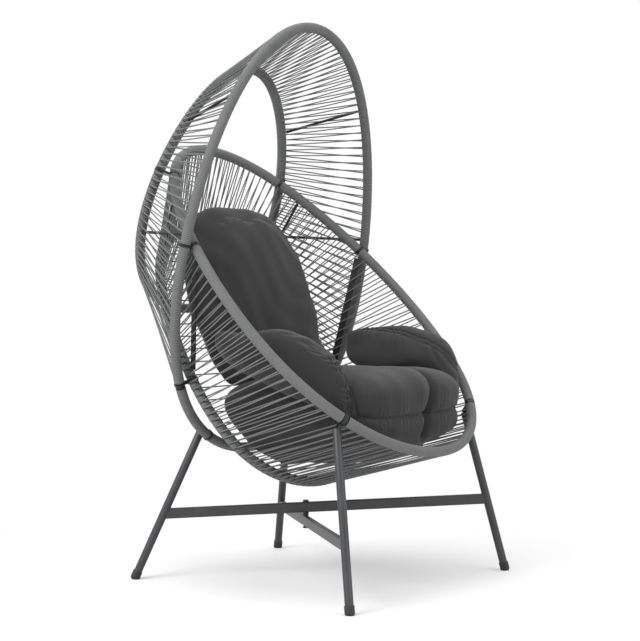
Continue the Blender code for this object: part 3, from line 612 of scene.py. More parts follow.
def back_to_hood(angle_deg: np.ndarray) -> np.ndarray:
    """The place on the hood's front hoop that faces a place on the back hoop, in degrees."""
    size = np.abs(angle_deg)
    return np.sign(angle_deg) * (np.sqrt(1.03**2 + 4 * 0.0008 * size) - 1.03) / (2 * 0.0008)


def seat_to_base(angle_deg: np.ndarray) -> np.ndarray:
    """Where a strand that leaves the seat ring meets the base ring, in degrees."""
    return angle_deg - 6.0 * np.sin(np.radians(angle_deg))


@dataclass(frozen=True)
class Section:
    """Centres and cross-section axes at places on a hoop."""

    centre: np.ndarray
    toward: np.ndarray
    outward: np.ndarray

    def surface(self, turn_deg: np.ndarray | float, radius: float) -> np.ndarray:
        """Points on the hoop's skin: centre + radius (cos t toward + sin t outward).

        Args:
            turn_deg: The turn round the section at each place.
            radius: Distance from the centre line.

        Returns:
            Points, shape (places, 3).
        """
        turn = np.radians(np.broadcast_to(turn_deg, len(self.centre)))[:, None]
        return self.centre + radius * (np.cos(turn) * self.toward + np.sin(turn) * self.outward)


def section_at(hoop: Hoop, angle_deg: np.ndarray, partner: Hoop, partner_deg: np.ndarray,
               side: Side) -> Section:
    """Section axes that face the partner hoop.

    Args:
        hoop: The hoop.
        angle_deg: Places on it.
        partner: The hoop at the other edge of the shell.
        partner_deg: The facing places on that hoop.
        side: Which way the section turns.

    Returns:
        The section at each place.
    """
    centre = hoop.points(angle_deg)
    tangent = hoop.tangents(angle_deg)
    toward = partner.points(partner_deg) - centre
    toward = toward - (toward * tangent).sum(-1, keepdims=True) * tangent
    toward = toward / np.linalg.norm(toward, axis=-1, keepdims=True)
    return Section(centre, toward, side.value * np.cross(tangent, toward))


@dataclass(frozen=True)
class Shell:
    """One rope wall between two hoops."""

    front: Hoop
    back: Hoop
    inner_turn: float = -67.0
    outer_turn: float = 64.0
    spread_share: float = 0.22

    def facing(self, angle_deg: np.ndarray) -> np.ndarray:
        """The back hoop's place that faces a place on the front hoop."""
        return hood_to_back(angle_deg) if self.front is HOOD_FRONT else seat_to_base(angle_deg)

    def inner_turns(self, angle_deg: np.ndarray) -> np.ndarray:
        """The turn at which inner strands leave the front hoop.

        The hood's inner layer moves towards the middle of the wall below 60 degrees, where the
        seat shell is close.

        Args:
            angle_deg: Places on the front hoop.

        Returns:
            Turns in degrees.
        """
        if self.front is not HOOD_FRONT:
            return np.full(len(angle_deg), self.inner_turn)
        ease = np.clip((np.abs(angle_deg) - 52.0) / 10.0, 0.0, 1.0)
        return self.inner_turn + ease * (-23.0 - self.inner_turn)

    def strands(self, name: str, places: np.ndarray, pitch: float) -> bpy.types.Object:
        """Pairs of strands that cross in the wall, one in each layer.

        A pair leaves the front hoop at the place plus and minus a share of the pitch and meets the
        back hoop the other way round.

        Args:
            name: The piece's name.
            places: The pairs' places on the front hoop.
            pitch: Degrees from pair to pair.

        Returns:
            The new object.
        """
        starts = []
        ends = []
        for layer in Layer:
            shift = layer.value * self.spread_share * pitch
            near = places + shift
            far = self.facing(places - shift)
            inner = self.inner_turns(places)
            turn = np.full(len(places), self.outer_turn) if layer is Layer.OUTER else inner
            front = section_at(self.front, near, self.back, self.facing(near), Side.FRONT)
            back = section_at(self.back, far, self.front, places - shift, Side.BACK)
            radius = WINDING_RADIUS - ROPE_WIDTH / 4
            starts.append(front.surface(turn, radius))
            ends.append(back.surface(turn, radius))
        return straight_tubes(name, np.concatenate(starts), np.concatenate(ends),
                              ROPE_WIDTH / 2, sag=0.0006)


def winding(name: str, hoop: Hoop, angle_deg: np.ndarray, partner: Hoop, partner_deg: np.ndarray,
            side: Side, pair_pitch: float, closed: bool = False) -> bpy.types.Object:
    """Rope wound round a hoop, a little thicker where each pair of strands turns over it.

    Pairs are counted on the front hoop, where a pair's share is (1 - cos(2 pi a / pitch)) / 2, and
    the radius grows by 0.35 mm times the fifth power of the share. On a back hoop thin slanted
    grooves lie between the pairs, only on the outer side that faces the wall: their depth is the part
    of the share under 0.2, times the cosine of the turn from 50 degrees. The same mask turns the
    colour there towards the near-black tube colour: the dark tube in the gaps, with painted shade.

    Args:
        name: The piece's name.
        hoop: The hoop.
        angle_deg: Rising places along it.
        partner: The shell's other hoop.
        partner_deg: The facing places on it.
        side: Which way the section turns.
        pair_pitch: Degrees of the front hoop from pair to pair, or 0 for a plain winding.
        closed: Whether the winding goes all the way round.

    Returns:
        The new object.
    """
    section = section_at(hoop, angle_deg, partner, partner_deg, side)
    turn = 2 * np.pi * np.arange(20) / 20
    swell = np.zeros(len(angle_deg))
    groove_shade = np.zeros((len(angle_deg), len(turn)))
    if pair_pitch:
        place = (partner_deg if side is Side.BACK else angle_deg) / pair_pitch
        swell = (0.5 - 0.5 * np.cos(2 * np.pi * place)) ** 5
        if side is Side.BACK:
            slant = 0.3 * np.sin(turn) - 0.15
            share = 0.5 - 0.5 * np.cos(2 * np.pi * (np.abs(place)[:, None] + slant))
            facing_wall = np.clip(np.cos(turn - math.radians(50.0)), 0.0, 1.0)
            groove_shade = np.clip((0.2 - share) / 0.16, 0.0, 1.0) * facing_wall
    radius = WINDING_RADIUS + 0.00035 * swell[:, None] - 0.0009 * groove_shade
    across = np.cos(turn)[None, :, None] * section.toward[:, None]
    away = np.sin(turn)[None, :, None] * section.outward[:, None]
    rings = section.centre[:, None] + radius[..., None] * (across + away)
    piece = tube_piece(name, rings[None], hoop.lengths(angle_deg)[None], closed)
    # Painted shade: the gaps' mask darkens the colour there through this attribute.
    shade = piece.data.attributes.new("rope_vs_gap_shade", "FLOAT", "POINT")
    shade.data.foreach_set("value", (1.0 - 0.9 * groove_shade).astype(np.float32).ravel())
    return piece


@dataclass
class RopeShells:
    """The hood and the seat shell: windings on the four hoops and the strands between them."""

    hood_pairs: int = 104
    seat_pairs: int = 134
    web_strands: int = 24
    step_deg: float = 0.5
    wound: RopeFinish = field(default_factory=lambda: RopeFinish("wound_rope"))
    taut: RopeFinish = field(default_factory=lambda: RopeFinish("taut_rope", wound=False))

    def build(self) -> None:
        """Makes the rope pieces."""
        wound = self.wound.material()
        taut = self.taut.material()
        self.build_hood(wound, taut)
        self.build_seat(wound, taut)

    def build_hood(self, wound: bpy.types.Material, taut: bpy.types.Material) -> None:
        """The hood's two windings, its strands and the plain winding on its foot.

        Args:
            wound: Material of the windings.
            taut: Material of the strands.
        """
        end = HOOD_BASE_TIE - COLLAR_GAP
        pitch = 2 * end / self.hood_pairs
        angle = np.arange(-end, end, self.step_deg)
        front = winding("hood_front_winding", HOOD_FRONT, angle, HOOD_BACK, hood_to_back(angle),
                        Side.FRONT, pitch)
        dress(front, wound, "rope", "hood_rope")
        back_end = float(hood_to_back(np.array(end)))
        around = np.arange(-180.0, 180.0, 0.4 * self.step_deg)
        facing = np.interp(around, [-180.0, -back_end], [-180.0, -end])
        facing = np.where(np.abs(around) <= back_end, back_to_hood(around), facing)
        tail = np.interp(around, [back_end, 180.0], [end, 180.0])
        facing = np.where(around > back_end, tail, facing)
        back = winding("hood_back_winding", HOOD_BACK, around, HOOD_FRONT, facing, Side.BACK,
                       pitch, closed=True)
        dress(back, wound, "rope")
        places = -end + pitch * (np.arange(self.hood_pairs) + 0.5)
        strands = Shell(HOOD_FRONT, HOOD_BACK).strands("hood_strands", places, pitch)
        dress(strands, taut, "rope")
        low = np.arange(HOOD_BASE_TIE + COLLAR_GAP, 360.0 - HOOD_BASE_TIE - COLLAR_GAP, self.step_deg)
        low_facing = np.interp(low, [low[0], low[-1]], [back_end, 360.0 - back_end])
        foot = winding("hood_foot_winding", HOOD_FRONT, low, HOOD_BACK, low_facing, Side.FRONT, 0.0)
        dress(foot, wound, "rope", "hood_lower_wrap")

    def build_seat(self, wound: bpy.types.Material, taut: bpy.types.Material) -> None:
        """The seat shell's windings, strands and the net across its back.

        Args:
            wound: Material of the windings.
            taut: Material of the strands.
        """
        pitch = 360.0 / self.seat_pairs
        rear = np.arange(-SEAT_COLLAR + COLLAR_GAP, SEAT_COLLAR - COLLAR_GAP, self.step_deg)
        ring = winding("seat_rear_winding", SEAT_RING, rear, BASE_RING, seat_to_base(rear),
                       Side.FRONT, pitch)
        dress(ring, wound, "rope", "seat_rope")
        fore = np.arange(SEAT_COLLAR + COLLAR_GAP, 360.0 - SEAT_COLLAR - COLLAR_GAP, self.step_deg)
        lip = winding("seat_front_winding", SEAT_RING, fore, BASE_RING, seat_to_base(fore),
                      Side.FRONT, 0.0)
        dress(lip, wound, "rope")
        around = np.arange(-180.0, 180.0, 0.4 * self.step_deg)
        base = winding("base_winding", BASE_RING, seat_to_base(around), SEAT_RING, around, Side.BACK,
                       pitch, closed=True)
        dress(base, wound, "rope")
        places = -180.0 + pitch * (np.arange(self.seat_pairs) + 0.5)
        clear = np.abs(np.abs(places) - SEAT_COLLAR) > 1.5 * COLLAR_GAP
        strands = Shell(SEAT_RING, BASE_RING).strands("seat_strands", places[clear], pitch)
        dress(strands, taut, "rope")
        level = np.linspace(26.0, 154.0, self.web_strands)
        left = BASE_RING.points(level)
        inset = NET_INSET * BASE_RING.normal()
        right = left * np.array([-1.0, 1.0, 1.0])
        net = straight_tubes("back_net", left - inset, right - inset, ROPE_WIDTH / 2, sag=0.002)
        dress(net, taut, "rope")


# Legs and crossed bars


@dataclass
class LegFrame:
    """Four splayed legs, their feet and the two crossed bars."""

    rear_foot: tuple[float, float, float] = (0.3204, 0.3451, 0.0)
    front_foot: tuple[float, float, float] = (0.3806, -0.4017, 0.0)
    stand_off: float = 0.0138 + 0.0018 + 2 * GAP + LEG_RADIUS
    rear_proud: float = 0.010
    lug_reach: float = 0.031
    lug_lean_deg: float = 32.0
    bar_height: float = 0.028
    bar_thickness: float = 0.015
    bar_rear_height: float = 0.1754
    bar_space: float = 0.010
    bar_rise: float = 0.0246
    coat: CoatFinish = CoatFinish(
        "grey_powder_coat", (0.046, 0.047, 0.050), (0.085, 0.086, 0.090), 0.42, 0.35)
    plastic: CoatFinish = CoatFinish(
        "foot_plastic", (0.012, 0.012, 0.013), (0.030, 0.030, 0.030), 0.55, 0.0)

    def line(self, end: str, sign: int) -> tuple[Vector, Vector]:
        """A leg's axis.

        Args:
            end: "rear" or "front".
            sign: 1 on the sitter's left and -1 on the right.

        Returns:
            The point on the floor and the axis's top.
        """
        if end == "rear":
            x, y, z = self.rear_foot
            foot = Vector((sign * x, y, z))
            hold = Vector(HOOD_FRONT.points(sign * REAR_LEG_STRAP))
            along = (hold - foot).normalized()
            away = Vector(HOOD_FRONT.normal())
            away -= along * away.dot(along)
            passing = hold + away.normalized() * self.stand_off
            return foot, passing + (passing - foot).normalized() * self.rear_proud
        x, y, z = self.front_foot
        lean = math.radians(self.lug_lean_deg)
        down = Vector((0.0, math.sin(lean), -math.cos(lean)))
        travel = Vector(SEAT_RING.tangents(np.array(sign * SEAT_COLLAR)))
        down = (down - travel * down.dot(travel)).normalized()
        hold = Vector(SEAT_RING.points(sign * SEAT_COLLAR))
        return Vector((sign * x, y, z)), hold + down * self.lug_reach

    def build(self) -> None:
        """Makes the legs, feet and bars."""
        steel = self.coat.material()
        plastic = self.plastic.material()
        for side, sign in SIDES.items():
            for end in ("front", "rear"):
                self.build_leg(end, side, sign, steel, plastic)
        lower_height = self.bar_rear_height - self.bar_height - self.bar_space
        self.build_bar("upper_stretcher", -1, self.bar_rear_height, steel)
        self.build_bar("lower_stretcher", 1, lower_height, steel)

    def build_leg(self, end: str, side: str, sign: int, steel: bpy.types.Material,
                  plastic: bpy.types.Material) -> None:
        """One leg and its foot.

        Args:
            end: "rear" or "front".
            side: "left" or "right".
            sign: 1 on the left and -1 on the right.
            steel: Material of the leg.
            plastic: Material of the foot.
        """
        foot, top = self.line(end, sign)
        length = (top - foot).length
        edge = 0.0012
        profile = [(0.0065, LEG_RADIUS), (0.3 * length, LEG_RADIUS), (0.7 * length, LEG_RADIUS),
                   (length - edge, LEG_RADIUS), (length - 0.3 * edge, LEG_RADIUS - 0.3 * edge),
                   (length, LEG_RADIUS - edge)]
        leg = turned_bar(f"{end}_leg_tube_{side}", foot, top, profile)
        dress(leg, steel, "leg_steel", f"{end}_leg_{side}")
        self.build_foot(end, side, foot, top, plastic)

    def build_foot(self, end: str, side: str, foot: Vector, top: Vector,
                   plastic: bpy.types.Material) -> None:
        """A plastic cap with a rounded tip that stands on the floor.

        Corners under the floor are lifted to it, so the tip is flat where it stands.

        Args:
            end: "rear" or "front".
            side: "left" or "right".
            foot: The leg's point on the floor.
            top: The leg's top.
            plastic: Material of the cap.
        """
        outer = LEG_RADIUS + GAP + 0.0016
        turn = np.linspace(0.08, 0.5, 7) * np.pi
        tip = [(-0.004 + outer * 0.7 * (1 - math.cos(t)), outer * math.sin(t)) for t in turn]
        profile = tip + [(0.012, outer), (0.022, outer), (0.0236, outer - 0.0005), (0.024, LEG_RADIUS + GAP)]
        cap = turned_bar(f"{end}_foot_{side}", foot, top, profile)
        count = len(cap.data.vertices)
        place = np.zeros(count * 3, np.float32)
        cap.data.vertices.foreach_get("co", place)
        place = place.reshape(-1, 3)
        place[:, 2] = np.maximum(place[:, 2], 0.0)
        cap.data.vertices.foreach_set("co", place.ravel())
        dress(cap, plastic, "black_plastic", f"foot_cap_{end}_{side}")

    def build_bar(self, name: str, rear_sign: int, height: float, steel: bpy.types.Material) -> None:
        """A diagonal bar from a rear leg to the front leg on the other side.

        Args:
            name: The CAD node that it stands for.
            rear_sign: The rear leg's side.
            height: The bar's height at the rear leg.
            steel: Its material.
        """
        rear_foot, rear_top = self.line("rear", rear_sign)
        front_foot, front_top = self.line("front", -rear_sign)
        start = rear_foot.lerp(rear_top, height / rear_top.z)
        end = front_foot.lerp(front_top, (height + self.bar_rise) / front_top.z)
        outline = rounded_outline(self.bar_height, self.bar_thickness, 0.0035)
        bar = swept_bar(f"{name}_tube", start, end, outline, (0.0, 0.0, 1.0))
        dress(bar, steel, "leg_steel", name)


# Black fittings


@dataclass
class Fittings:
    """Lashings, brackets, rods, ribs, collars and the crossing bolt, kept as the CAD has them."""

    coat: CoatFinish = CoatFinish(
        "black_satin_coat", (0.014, 0.014, 0.015), (0.040, 0.040, 0.042), 0.45, 0.4)
    tube: CoatFinish = CoatFinish(
        "hoop_powder_coat", (0.046, 0.047, 0.050), (0.085, 0.086, 0.090), 0.42, 0.35)
    hoops: tuple[str, ...] = ("hood_front_hoop", "hood_back_hoop", "seat_ring", "base_ring")

    def build(self, nodes: dict[str, bpy.types.Object]) -> None:
        """Gives every CAD node that still shows its finish.

        Args:
            nodes: The CAD nodes by name.
        """
        black = self.coat.material()
        steel = self.tube.material()
        for name, node in nodes.items():
            if node.hide_render:
                continue
            node.data.materials.clear()
            node.data.materials.append(steel if name in self.hoops else black)
            LOG.info("%s keeps its CAD shape", name)


# Cushions


def merged_copy(node: bpy.types.Object, name: str) -> bpy.types.Object:
    """A copy of a CAD node with its loose triangles joined.

    Args:
        node: The CAD node.
        name: The copy's name.

    Returns:
        The copy.
    """
    edit = bmesh.new()
    edit.from_mesh(node.data)
    bmesh.ops.remove_doubles(edit, verts=edit.verts[:], dist=0.0002)
    bmesh.ops.recalc_face_normals(edit, faces=edit.faces[:])
    mesh = bpy.data.meshes.new(name)
    edit.to_mesh(mesh)
    edit.free()
    item = bpy.data.objects.new(name, mesh)
    bpy.context.scene.collection.objects.link(item)
    return item


def apply_modifiers(item: bpy.types.Object) -> None:
    """Turns what an object's modifiers make into its own mesh.

    Args:
        item: The object.
    """
    graph = bpy.context.evaluated_depsgraph_get()
    mesh = bpy.data.meshes.new_from_object(item.evaluated_get(graph))
    item.modifiers.clear()
    item.data = mesh


def corners(mesh: bpy.types.Mesh) -> np.ndarray:
    """A mesh's corners, shape (count, 3)."""
    place = np.zeros(len(mesh.vertices) * 3, np.float32)
    mesh.vertices.foreach_get("co", place)
    return place.reshape(-1, 3).astype(float)


def corner_normals(mesh: bpy.types.Mesh) -> np.ndarray:
    """A mesh's corner normals, shape (count, 3)."""
    normal = np.zeros(len(mesh.vertices) * 3, np.float32)
    mesh.vertex_normals.foreach_get("vector", normal)
    return normal.reshape(-1, 3).astype(float)


def set_corners(mesh: bpy.types.Mesh, place: np.ndarray) -> None:
    """Moves a mesh's corners.

    Args:
        mesh: The mesh.
        place: The new corners, shape (count, 3).
    """
    mesh.vertices.foreach_set("co", place.astype(np.float32).ravel())
    mesh.update()


@dataclass(frozen=True)
class Seam:
    """A sewn line: where a plane meets the cushion, on the side that a direction points to."""

    point: tuple[float, float, float]
    normal: tuple[float, float, float]
    facing: tuple[float, float, float]
    facing_from: float
    depth: float
    half_width: float
    gathers: float = 0.0

    def distance(self, place: np.ndarray) -> np.ndarray:
        """Signed distance of each point from the seam's plane."""
        normal = np.array(self.normal) / np.linalg.norm(self.normal)
        return (place - np.array(self.point)) @ normal

    def share(self, normals: np.ndarray) -> np.ndarray:
        """How far each place faces the seam's side, from 0 to 1."""
        facing = np.array(self.facing) / np.linalg.norm(self.facing)
        return np.clip((normals @ facing - self.facing_from) / 0.3, 0.0, 1.0)

    def press(self, place: np.ndarray, normals: np.ndarray) -> np.ndarray:
        """Draws a seam in and gathers the cloth beside it.

        The dip is depth exp(-(d / w)^2) plus 0.25 depth exp(-(d / 3w)^2); gathers are
        sin(2 pi s / 26 mm + 3 sin(2 pi s / 90 mm)) less 1, so they only go inwards, and fade over
        30 mm from the seam.

        Args:
            place: Corners.
            normals: Their normals.

        Returns:
            The moved corners.
        """
        distance = self.distance(place)
        share = self.share(normals)
        close = np.exp(-((distance / self.half_width) ** 2))
        wide = np.exp(-((distance / (3 * self.half_width)) ** 2))
        normal = np.array(self.normal) / np.linalg.norm(self.normal)
        run = (place - np.array(self.point)) @ np.cross(normal, np.array(self.facing))
        run = run + 0.6 * (place - np.array(self.point)) @ np.array(self.facing)
        wave = np.sin(2 * np.pi * run / 0.026 + 3 * np.sin(2 * np.pi * run / 0.09))
        fade = np.exp(-np.abs(distance) / 0.030) * (1 - close)
        move = -self.depth * (close + 0.25 * wide) + self.gathers * (wave - 1.0) * fade
        return place + (share * move)[:, None] * normals


@dataclass(frozen=True)
class Pull:
    """A soft move of part of a cushion, which grows from nothing to its full length along each ramp.

    A ramp is a direction's axis (0, 1 or 2), the place where it starts and the place where it is
    full; the share is the product of 3 t^2 - 2 t^3 over the ramps.
    """

    move: tuple[float, float, float]
    ramps: tuple[tuple[int, float, float], ...]

    def apply(self, place: np.ndarray) -> np.ndarray:
        """Moves the corners that the ramps reach.

        Args:
            place: Corners, shape (count, 3).

        Returns:
            The moved corners.
        """
        share = np.ones(len(place))
        for axis, start, full in self.ramps:
            t = np.clip((place[:, axis] - start) / (full - start), 0.0, 1.0)
            share = share * t * t * (3.0 - 2.0 * t)
        return place + share[:, None] * np.array(self.move)


@dataclass
class Cushion:
    """A stuffed cushion: inflated by cloth simulation from its CAD solid, then sewn."""

    node: str
    piece: str
    voxel: float = 0.007
    inset: float = 0.009
    cap: float = 0.024
    pressure: float = 4.0
    fill: float = 0.7
    rumple: float = 0.0022
    swell: float = 0.006
    swell_from: float = 0.012
    swell_over: float = 0.030
    sink: float = 0.002
    clearance: float = 0.005
    reach: float = 0.035
    evening: int = 50
    seams: tuple[Seam, ...] = ()
    pulls: tuple[Pull, ...] = ()
    filled: tuple[Seam, ...] = ()

    def build(self, node: bpy.types.Object, others: BVHTree, built: list[BVHTree],
              cloth: bpy.types.Material) -> bpy.types.Object:
        """Makes the cushion.

        Args:
            node: Its CAD node.
            others: The CAD solids near which it doesn't swell.
            built: The finished cushions that it gives way to.
            cloth: Its material.

        Returns:
            The new piece.
        """
        item = merged_copy(node, self.piece)
        modifier = item.modifiers.new("even_mesh", "REMESH")
        modifier.mode = "VOXEL"
        modifier.voxel_size = self.voxel
        evener = item.modifiers.new("even_out", "SMOOTH")
        evener.factor = 0.5
        evener.iterations = self.evening
        apply_modifiers(item)
        place = corners(item.data)
        for seam in self.filled:
            place = seam.press(place, corner_normals(item.data))
        for pull in self.pulls:
            place = pull.apply(place)
        set_corners(item.data, place)
        facing = corner_normals(item.data)
        start = place - self.inset * facing
        set_corners(item.data, start)
        self.inflate(item, start)
        self.hold_shape(item, place, facing, others)
        self.give_way(item, built)
        place = corners(item.data)
        dents = self.rumple + self.rumples(place)
        set_corners(item.data, place - dents[:, None] * corner_normals(item.data))
        subdivision = item.modifiers.new("soften", "SUBSURF")
        subdivision.levels = 1
        subdivision.render_levels = 1
        apply_modifiers(item)
        for seam in self.seams:
            set_corners(item.data, seam.press(corners(item.data), corner_normals(item.data)))
        item.data.shade_smooth()
        dress(item, cloth, "cushion_fabric", self.node)
        return item

    def inflate(self, item: bpy.types.Object, start: np.ndarray) -> None:
        """Blows the cloth up against its seams, with each point's travel capped.

        Args:
            item: The cushion.
            start: Its corners before the pressure.
        """
        pinned = np.zeros(len(start))
        normals = corner_normals(item.data)
        for seam in self.seams:
            near = np.exp(-((seam.distance(start) / seam.half_width) ** 2)) * seam.share(normals)
            pinned = np.maximum(pinned, near)
        group = item.vertex_groups.new(name="sewn")
        for weight in (0.5, 1.0):
            chosen = np.flatnonzero(pinned > 0.6 * weight)
            group.add(chosen.tolist(), weight, "REPLACE")
        cloth = item.modifiers.new("pressure", "CLOTH")
        cloth.settings.use_pressure = True
        cloth.settings.uniform_pressure_force = self.pressure
        cloth.settings.effector_weights.gravity = 0.0
        cloth.settings.quality = 5
        cloth.settings.tension_stiffness = 20.0
        cloth.settings.compression_stiffness = 10.0
        cloth.settings.bending_stiffness = 0.4
        cloth.settings.vertex_group_mass = "sewn"
        cloth.collision_settings.use_collision = False
        scene = bpy.context.scene
        for frame in range(1, 21):
            scene.frame_set(frame)
        apply_modifiers(item)
        scene.frame_set(1)
        move = corners(item.data) - start
        length = np.linalg.norm(move, axis=-1, keepdims=True)
        held = move * np.minimum(1.0, self.cap / np.maximum(length, 1e-9))
        set_corners(item.data, start + held)

    def rumples(self, place: np.ndarray) -> np.ndarray:
        """Soft dents of stuffing under cloth: three slow waves at slanted angles.

        Args:
            place: Corners.

        Returns:
            How far each corner moves along its normal.
        """
        drift = np.sin(place @ np.array([9.0, -14.0, 11.0]))
        bend = np.sin(place @ np.array([12.0, 7.0, -16.0]))
        first = np.sin(place @ np.array([31.0, 17.0, -23.0]) + 2 * drift)
        second = np.sin(place @ np.array([-19.0, 41.0, 29.0]) + 1.7)
        third = np.sin(place @ np.array([57.0, -37.0, 63.0]) + 3 * bend)
        return self.rumple * (0.5 * first + 0.3 * second + 0.25 * third)

    def hold_shape(self, item: bpy.types.Object, rest: np.ndarray, facing: np.ndarray,
                   others: BVHTree) -> None:
        """Lets each corner swell past its resting place only where there is room.

        The rise along the resting normal lies between -sink and the swell, which grows from
        nothing where a neighbour is near to its full value in the open. Half of the slide
        across the normal is kept.

        Args:
            item: The cushion.
            rest: Resting corners.
            facing: Resting normals.
            others: What it stays clear of.
        """
        reach = self.swell_from + self.swell_over
        gaps = [others.find_nearest(Vector(point), reach)[3] for point in rest]
        gap = np.array([reach if value is None else value for value in gaps])
        room = self.swell * np.clip((gap - self.swell_from) / self.swell_over, 0.0, 1.0)
        move = corners(item.data) - rest
        rise = (move * facing).sum(-1)
        slide = move - rise[:, None] * facing
        held = np.clip(rise, -self.sink, room)
        set_corners(item.data, rest + held[:, None] * facing + 0.5 * slide)

    def give_way(self, item: bpy.types.Object, built: list[BVHTree]) -> None:
        """Flattens the cushion where it meets the net or a cushion that is already there.

        A corner nearer to the other's skin than the clearance, or inside it, moves out along that
        skin's normal. The moves are evened with those of the corners beside them between rounds,
        and the last round isn't evened, so that it leaves nothing inside.

        Args:
            item: The cushion.
            built: The finished cushions.
        """
        place = corners(item.data)
        ends = np.zeros(len(item.data.edges) * 2, np.int32)
        item.data.edges.foreach_get("vertices", ends)
        pairs = np.concatenate([ends.reshape(-1, 2), ends.reshape(-1, 2)[:, ::-1]])
        degree = np.bincount(pairs[:, 0], minlength=len(place))[:, None]
        shift = np.zeros_like(place)
        for last in (False,) * 8 + (True,):
            if not last:
                total = np.zeros_like(shift)
                np.add.at(total, pairs[:, 0], shift[pairs[:, 1]])
                shift = 0.5 * shift + 0.5 * total / degree
            shift = self.rest_on_net(place + shift) - place
            for tree in built:
                shift += self.way_out(place + shift, tree)
        set_corners(item.data, place + shift)

    def way_out(self, place: np.ndarray, tree: BVHTree) -> np.ndarray:
        """How far each corner moves to stand the clearance away from a closed skin.

        The height over the skin is (corner - nearest point) . normal, and the move is the
        clearance less the height, where that is positive, along the normal. Corners farther from
        the skin than the reach stay, because the nearest normal says nothing there.

        Args:
            place: Corners.
            tree: The skin.

        Returns:
            The moves, shape (count, 3).
        """
        found = [tree.find_nearest(Vector(point), self.reach) for point in place]
        close = np.array([hit[0] is not None for hit in found])
        near = np.array([hit[0] or point for hit, point in zip(found, place)])
        normal = np.array([hit[1] or (0.0, 0.0, 0.0) for hit in found])
        height = ((place - near) * normal).sum(-1)
        return (close * np.maximum(self.clearance - height, 0.0))[:, None] * normal

    def rest_on_net(self, place: np.ndarray) -> np.ndarray:
        """Flattens the cushion against the net across the base ring.

        A corner whose height along the ring's normal is over the net's front less the clearance
        comes back to it along the normal.

        Args:
            place: Corners.

        Returns:
            The moved corners.
        """
        normal = BASE_RING.normal()
        centre = np.array([0.0, BASE_RING.centre_y, BASE_RING.centre_z])
        front = -NET_INSET - ROPE_WIDTH / 2 - self.clearance
        over = np.maximum((place - centre) @ normal - front, 0.0)
        return place - over[:, None] * normal


def cushion_tree(item: bpy.types.Object) -> BVHTree:
    """A search tree of a finished cushion.

    Args:
        item: The cushion.

    Returns:
        The tree.
    """
    faces = [tuple(face.vertices) for face in item.data.polygons]
    return BVHTree.FromPolygons(corners(item.data).tolist(), faces)


def neighbours_tree(nodes: dict[str, bpy.types.Object], names: list[str]) -> BVHTree:
    """A search tree of several CAD nodes.

    Args:
        nodes: The CAD nodes by name.
        names: Which of them to hold.

    Returns:
        The tree.
    """
    points = []
    faces = []
    for name in names:
        mesh = nodes[name].data
        shift = len(points)
        points += [tuple(p) for p in corners(mesh)]
        faces += [tuple(shift + v for v in face.vertices) for face in mesh.polygons]
    return BVHTree.FromPolygons(points, faces)


